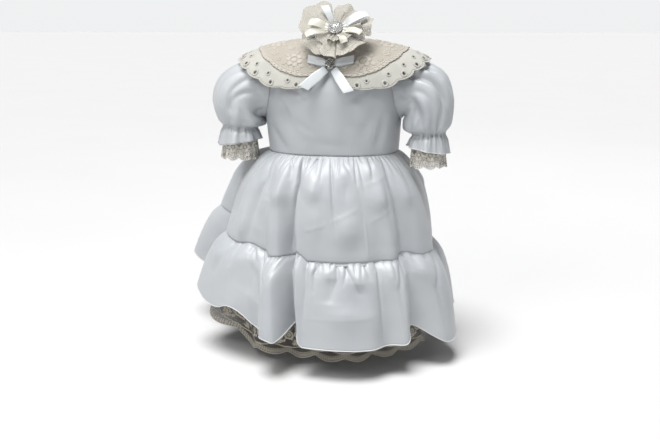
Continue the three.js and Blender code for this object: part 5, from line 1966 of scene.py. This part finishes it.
def duchess_satin(name, light, shade, roughness):
    material, tree, shader = finish(
        name, Roughness=roughness, IOR=1.5, Anisotropic=0.35, Sheen_Weight=0.15, Sheen_Roughness=0.35,
        Specular_IOR_Level=0.7,
    )
    place = cloth_place(tree)
    slow = wear_noise(tree, 70)
    tone = two_tone(tree, slow, shade, light)
    tone.color_ramp.elements[0].position = 0.30
    tone.color_ramp.elements[1].position = 0.66
    tree.links.new(tone.outputs["Color"], shader.inputs["Base Color"])
    floats = ribs(tree, place, 0.5, "X")
    crumple = wear_noise(tree, 40, 1.5)
    fine = wear_noise(tree, 3.2, 2.0)
    bumped(tree, shader, [(crumple, 0.45, 3.0), (fine, 0.08, 0.25), (floats, 0.10, 0.05)])
    rough = add(
        tree, "MapRange", {"Value": crumple, "To Min": roughness - 0.05, "To Max": roughness + 0.07}
    )
    tree.links.new(rough.outputs["Result"], shader.inputs["Roughness"])
    return material


satin = duchess_satin("duchess_satin", "#aeb1b4", "#a5a9ad", 0.46)
lining = duchess_satin("underskirt_lining", "#a2a29e", "#989896", 0.55)
ribbon_satin = duchess_satin("ribbon_satin", "#d2d6d8", "#c8cdd0", 0.34)
cream_ribbon = duchess_satin("cream_ribbon_satin", "#cbc9be", "#c4c1b5", 0.36)
# The rolled hems and edges are the skirt's own satin, painted paler than it so they read bright: a
# painted highlight.
rolled_hem_painted_highlight = duchess_satin("rolled_hem_satin", "#c8caca", "#bfc1c2", 0.40)
print("satins:", [m.name for m in (satin, lining, ribbon_satin, cream_ribbon)])

# %% [markdown]
# ### Cotton and thread
# The eyelet collar is unbleached cotton in plain weave, dull and a little warm. Its bindings are
# satin stitch in shiny cotton thread, laid side by side at 0.45 mm. Lace thread is dull too.

# %% Cotton finishes


def plain_weave(name, light, shade, pitch_mm, roughness=0.85):
    material, tree, shader = finish(
        name, Roughness=roughness, Sheen_Weight=0.15, Sheen_Roughness=0.6, Specular_IOR_Level=0.3
    )
    place = cloth_place(tree)
    slow = wear_noise(tree, 26)
    tone = two_tone(tree, slow, shade, light)
    tone.color_ramp.elements[0].position = 0.32
    tone.color_ramp.elements[1].position = 0.62
    tree.links.new(tone.outputs["Color"], shader.inputs["Base Color"])
    warp, weft = ribs(tree, place, pitch_mm, "X"), ribs(tree, place, pitch_mm, "Y")
    weave = add(tree, "Math", {0: warp, 1: weft}, operation="MULTIPLY").outputs[0]
    bumped(tree, shader, [(slow, 0.3, 0.6), (weave, 0.45, 0.18)])
    return material


def satin_stitch(name, light, shade, pitch_mm=0.45):
    material, tree, shader = finish(name, Roughness=0.5, Sheen_Weight=0.2, Specular_IOR_Level=0.4)
    place = cloth_place(tree)
    thread = ribs(tree, place, pitch_mm, "X")
    tone = two_tone(tree, thread, shade, light)
    tree.links.new(tone.outputs["Color"], shader.inputs["Base Color"])
    bumped(tree, shader, [(thread, 0.8, 0.16)])
    return material


cotton = plain_weave("eyelet_cotton", "#b4b3ac", "#abaaa3", 0.5)
cotton_thread = satin_stitch("eyelet_satin_stitch", "#c1bfb7", "#aeaca3")
sewing = satin_stitch("sewing_thread", "#c4c5c4", "#acaeae", 0.4)
felt = plain_weave("wool_felt", "#c6c3ba", "#b8b4a9", 1.1, 0.95)
print("cottons:", [m.name for m in (cotton, cotton_thread, sewing, felt)])

# %% [markdown]
# ### Lace
# Lace has two parts: the drawn flowers and borders in thick thread, and a ground of mesh. Where the
# sheet's drawing is near 1 the thread covers all. Elsewhere the ground shows, and its holes are
# real holes in the finish, so whatever lies behind shows through.

# %% Lace finishes


def lace(name, thread, ground, mesh_mm, hole, weft_mm=0.6, solid_from=0.42):
    """hole is the radius of a mesh hole as a share of the mesh spacing."""
    material, tree, shader = finish(name, Roughness=0.85, Sheen_Weight=0.15, Specular_IOR_Level=0.3)
    place = cloth_place(tree)
    turned = add(
        tree, "Mapping", {"Vector": place, "Rotation": (0, 0, math.radians(45))}
    ).outputs["Vector"]
    cells = {"Vector": turned, "Scale": 1 / mesh_mm, "Randomness": 0.12}
    away = add(tree, "TexVoronoi", cells, voronoi_dimensions="2D").outputs["Distance"]
    drawn = add(tree, "Attribute", attribute_name="drawing").outputs["Fac"]
    solid = add(
        tree, "MapRange", {"Value": drawn, "From Min": solid_from, "From Max": solid_from + 0.16}
    ).outputs["Result"]
    bars = add(tree, "Math", {0: away, 1: hole}, operation="GREATER_THAN").outputs[0]
    cover = add(tree, "Math", {0: bars, 1: solid}, operation="MAXIMUM").outputs[0]
    tree.links.new(cover, shader.inputs["Alpha"])
    twist = add(
        tree, "TexNoise", {"Vector": place, "Scale": 1 / weft_mm, "Detail": 3.0}
    ).outputs["Fac"]
    tone = two_tone(tree, solid, ground, thread)
    speck = add(
        tree, "MapRange", {"Value": twist, "To Min": 0.80, "To Max": 1.08}
    ).outputs["Result"]
    mixed = add(
        tree, "Mix", {"Factor": 1.0, 6: tone.outputs["Color"], 7: speck}, data_type="RGBA",
        blend_type="MULTIPLY"
    )
    tree.links.new(mixed.outputs[2], shader.inputs["Base Color"])
    bumped(tree, shader, [(drawn, 0.7, 0.5), (twist, 0.6, 0.3)])
    return material


# The hem lace's thread is darker than the cuff lace's: painted shade from the skirt's edge above it. Its
# dark taupe ground is partly the tulle's own colour and partly painted shade, the shaded inside of the
# gown seen through the net.
hem_net_painted_shade = lace("tulle_lace", "#b9b3a5", "#57534b", 1.5, 0.32)
cuff_net = lace("cuff_tulle_lace", "#d0ccc3", "#716c63", 1.5, 0.36)
guipure = lace("guipure_lace", "#b8b2a8", "#b2aca1", 2.7, 0.19, 0.7)
fan_lace = lace("rosette_lace", "#bbb7ae", "#aeaaa0", 2.4, 0.22, 0.7)
print("laces:", [m.name for m in (hem_net_painted_shade, cuff_net, guipure, fan_lace)])

# %% [markdown]
# ### Stones, settings and buttons
# The stones are cut glass on foil, so each facet is a small mirror with a tint. The settings are
# grey plated metal. The buttons are moulded plastic with a pearl lustre.

# %% Hard finishes


def foiled_glass(name, light, shade, foil):
    material, tree, shader = finish(
        name, Roughness=0.12, Metallic=foil, IOR=1.55, Coat_Weight=1.0, Coat_Roughness=0.02
    )
    sparkle = wear_noise(tree, 2.2, 1.0)
    tone = two_tone(tree, sparkle, shade, light)
    tone.color_ramp.elements[0].position = 0.40
    tone.color_ramp.elements[1].position = 0.58
    tree.links.new(tone.outputs["Color"], shader.inputs["Base Color"])
    return material


def plated_metal(name, light, shade, metal, roughness):
    material, tree, shader = finish(name, Roughness=roughness, Metallic=metal)
    dull = wear_noise(tree, 1.5, 2.0)
    tone = two_tone(tree, dull, shade, light)
    tree.links.new(tone.outputs["Color"], shader.inputs["Base Color"])
    bumped(tree, shader, [(dull, 0.2, 0.1)])
    return material


def pearl_plastic(name, light, shade):
    material, tree, shader = finish(
        name, Roughness=0.22, IOR=1.49, Coat_Weight=0.4, Coat_Roughness=0.08
    )
    where = add(tree, "TexCoord").outputs["Object"]
    swirl = add(
        tree, "TexWave", {"Vector": where, "Scale": 60.0, "Distortion": 9.0, "Detail": 2.0}
    ).outputs["Fac"]
    tone = two_tone(tree, swirl, shade, light)
    tree.links.new(tone.outputs["Color"], shader.inputs["Base Color"])
    bumped(tree, shader, [(swirl, 0.05, 0.1)])
    return material


dark_stone = foiled_glass("grey_cut_glass", "#a7a49d", "#4b4945", 0.6)
clear_stone = foiled_glass("clear_cut_glass", "#d9dad8", "#9c9d9b", 0.15)
setting = plated_metal("plated_setting", "#b5b4b0", "#76746f", 1.0, 0.3)
clear_setting = plated_metal("plated_silver_setting", "#c2c3c0", "#8f908e", 0.35, 0.5)
pearl = pearl_plastic("pearl_button_plastic", "#cfccc4", "#bdb9af")
FINISHES = [
    ("back_button_1_pearl", pearl, "button"),
    ("back_button_2_pearl", pearl, "button"),
    ("back_button_3_pearl", pearl, "button"),
    ("brooch_stones", dark_stone, "rhinestones"),
    ("brooch_setting", setting, "rhinestones"),
    ("jewel_stones", clear_stone, "clear_jewel"),
    ("jewel_setting", clear_setting, "clear_jewel"),
    ("felt", felt, "felt"),
    ("stitch", sewing, "satin"),
    ("thread", sewing, "satin"),
    ("rolled", rolled_hem_painted_highlight, "satin"),
    ("underskirt_lace", hem_net_painted_shade, "net_lace"),
    ("cuff_lace", cuff_net, "net_lace"),
    ("guipure", guipure, "guipure"),
    ("petal", fan_lace, "guipure"),
    ("cotton", cotton, "eyelet"),
    ("padded", cotton_thread, "eyelet"),
    ("corded", cotton_thread, "eyelet"),
    ("rosette_ribbon_3", cream_ribbon, "ribbon"),
    ("rosette_ribbon_4", cream_ribbon, "ribbon"),
    ("rosette_ribbon_5", cream_ribbon, "ribbon"),
    ("rosette_ribbon_6", cream_ribbon, "ribbon"),
    ("rosette_ribbon", ribbon_satin, "ribbon"),
    ("bow_", ribbon_satin, "ribbon"),
    ("underskirt", lining, "satin"),
    ("", satin, "satin"),
]
for name, piece in PIECES.items():
    material, slot = next((row[1], row[2]) for row in FINISHES if row[0] in name)
    piece.data.materials.append(material)
    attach(piece, "root")
print("finished pieces:", len(PIECES))

# %% [markdown]
# ## Each sheet's area
# Cloth has a flat size before it is gathered or folded, and that is what a sewer would cut. No cut
# can be measured in a photo, and none is given here: for each sheet only the area of its faces is
# read.

# %% Sheets


def parts(*names):
    return [PIECES[name] for name in names]


for half in ("front", "back"):
    sheet_of(
        PIECES[f"skirt_upper_{half}_satin"],
    )
    sheet_of(
        PIECES[f"skirt_lower_{half}_satin"],
    )
    sheet_of(PIECES[f"underskirt_{half}_satin"])
    sheet_of(
        PIECES[f"underskirt_lace_{half}_net"],
    )
sheet_of(PIECES["waist_seam_allowance"])
sheet_of(PIECES["tier_seam_allowance"])
sheet_of(PIECES["bodice_front_satin"])
for side in ("left", "right"):
    sheet_of(PIECES[f"bodice_back_{side}_satin"])
    sheet_of(PIECES[f"sleeve_{side}_satin"])
    sheet_of(PIECES[f"cuff_lace_{side}_net"])
    sheet_of(
        PIECES[f"collar_eyelet_{side}_cotton"],
    )
    sheet_of(
        PIECES[f"collar_guipure_{side}_lace"],
    )
    sheet_of(PIECES[f"bow_loop_{side}_satin"])
    sheet_of(PIECES[f"bow_tail_{side}_satin"])
sheet_of(PIECES["neck_band_satin"])
sheet_of(PIECES["back_placket_satin"])
sheet_of(PIECES["bow_knot_satin"])
for k in range(6):
    reach, half = PETALS["reach"][k], PETALS["half_angle"][k]
    sheet_of(PIECES[f"rosette_petal_{k + 1}_lace"])
    sheet_of(PIECES[f"rosette_ribbon_{k + 1}_satin"])
sheet_of(
    PIECES["rosette_backing_felt"]
)

# %% Triangles


def triangles(piece):
    mesh = piece.evaluated_get(bpy.context.evaluated_depsgraph_get()).to_mesh()
    mesh.calc_loop_triangles()
    return len(mesh.loop_triangles)


counts = {name: triangles(piece) for name, piece in PIECES.items()}
most = max(counts, key=counts.get)
print(f"triangles: {sum(counts.values())} in all, most in {most} with {counts[most]}")

# %% [markdown]
# ## The floor
# A plain pale floor, just under the lace. It is studio, not gown.

# %% Floor
FLOOR = {"height": -0.464, "half": 55.0}


def build_floor():
    z, s = FLOOR["height"], FLOOR["half"]
    mesh = bpy.data.meshes.new("floor")
    mesh.from_pydata([(-s, -s, z), (s, -s, z), (s, s, z), (-s, s, z)], [], [(0, 1, 2, 3)])
    floor = bpy.data.objects.new("floor", mesh)
    bpy.context.collection.objects.link(floor)
    paint, tree, shader = finish("matt_floor_paint", Roughness=0.9)
    tone = two_tone(tree, wear_noise(tree, 400), "#cbcbcb", "#cfcfcf")
    tree.links.new(tone.outputs["Color"], shader.inputs["Base Color"])
    mesh.materials.append(paint)


build_floor()
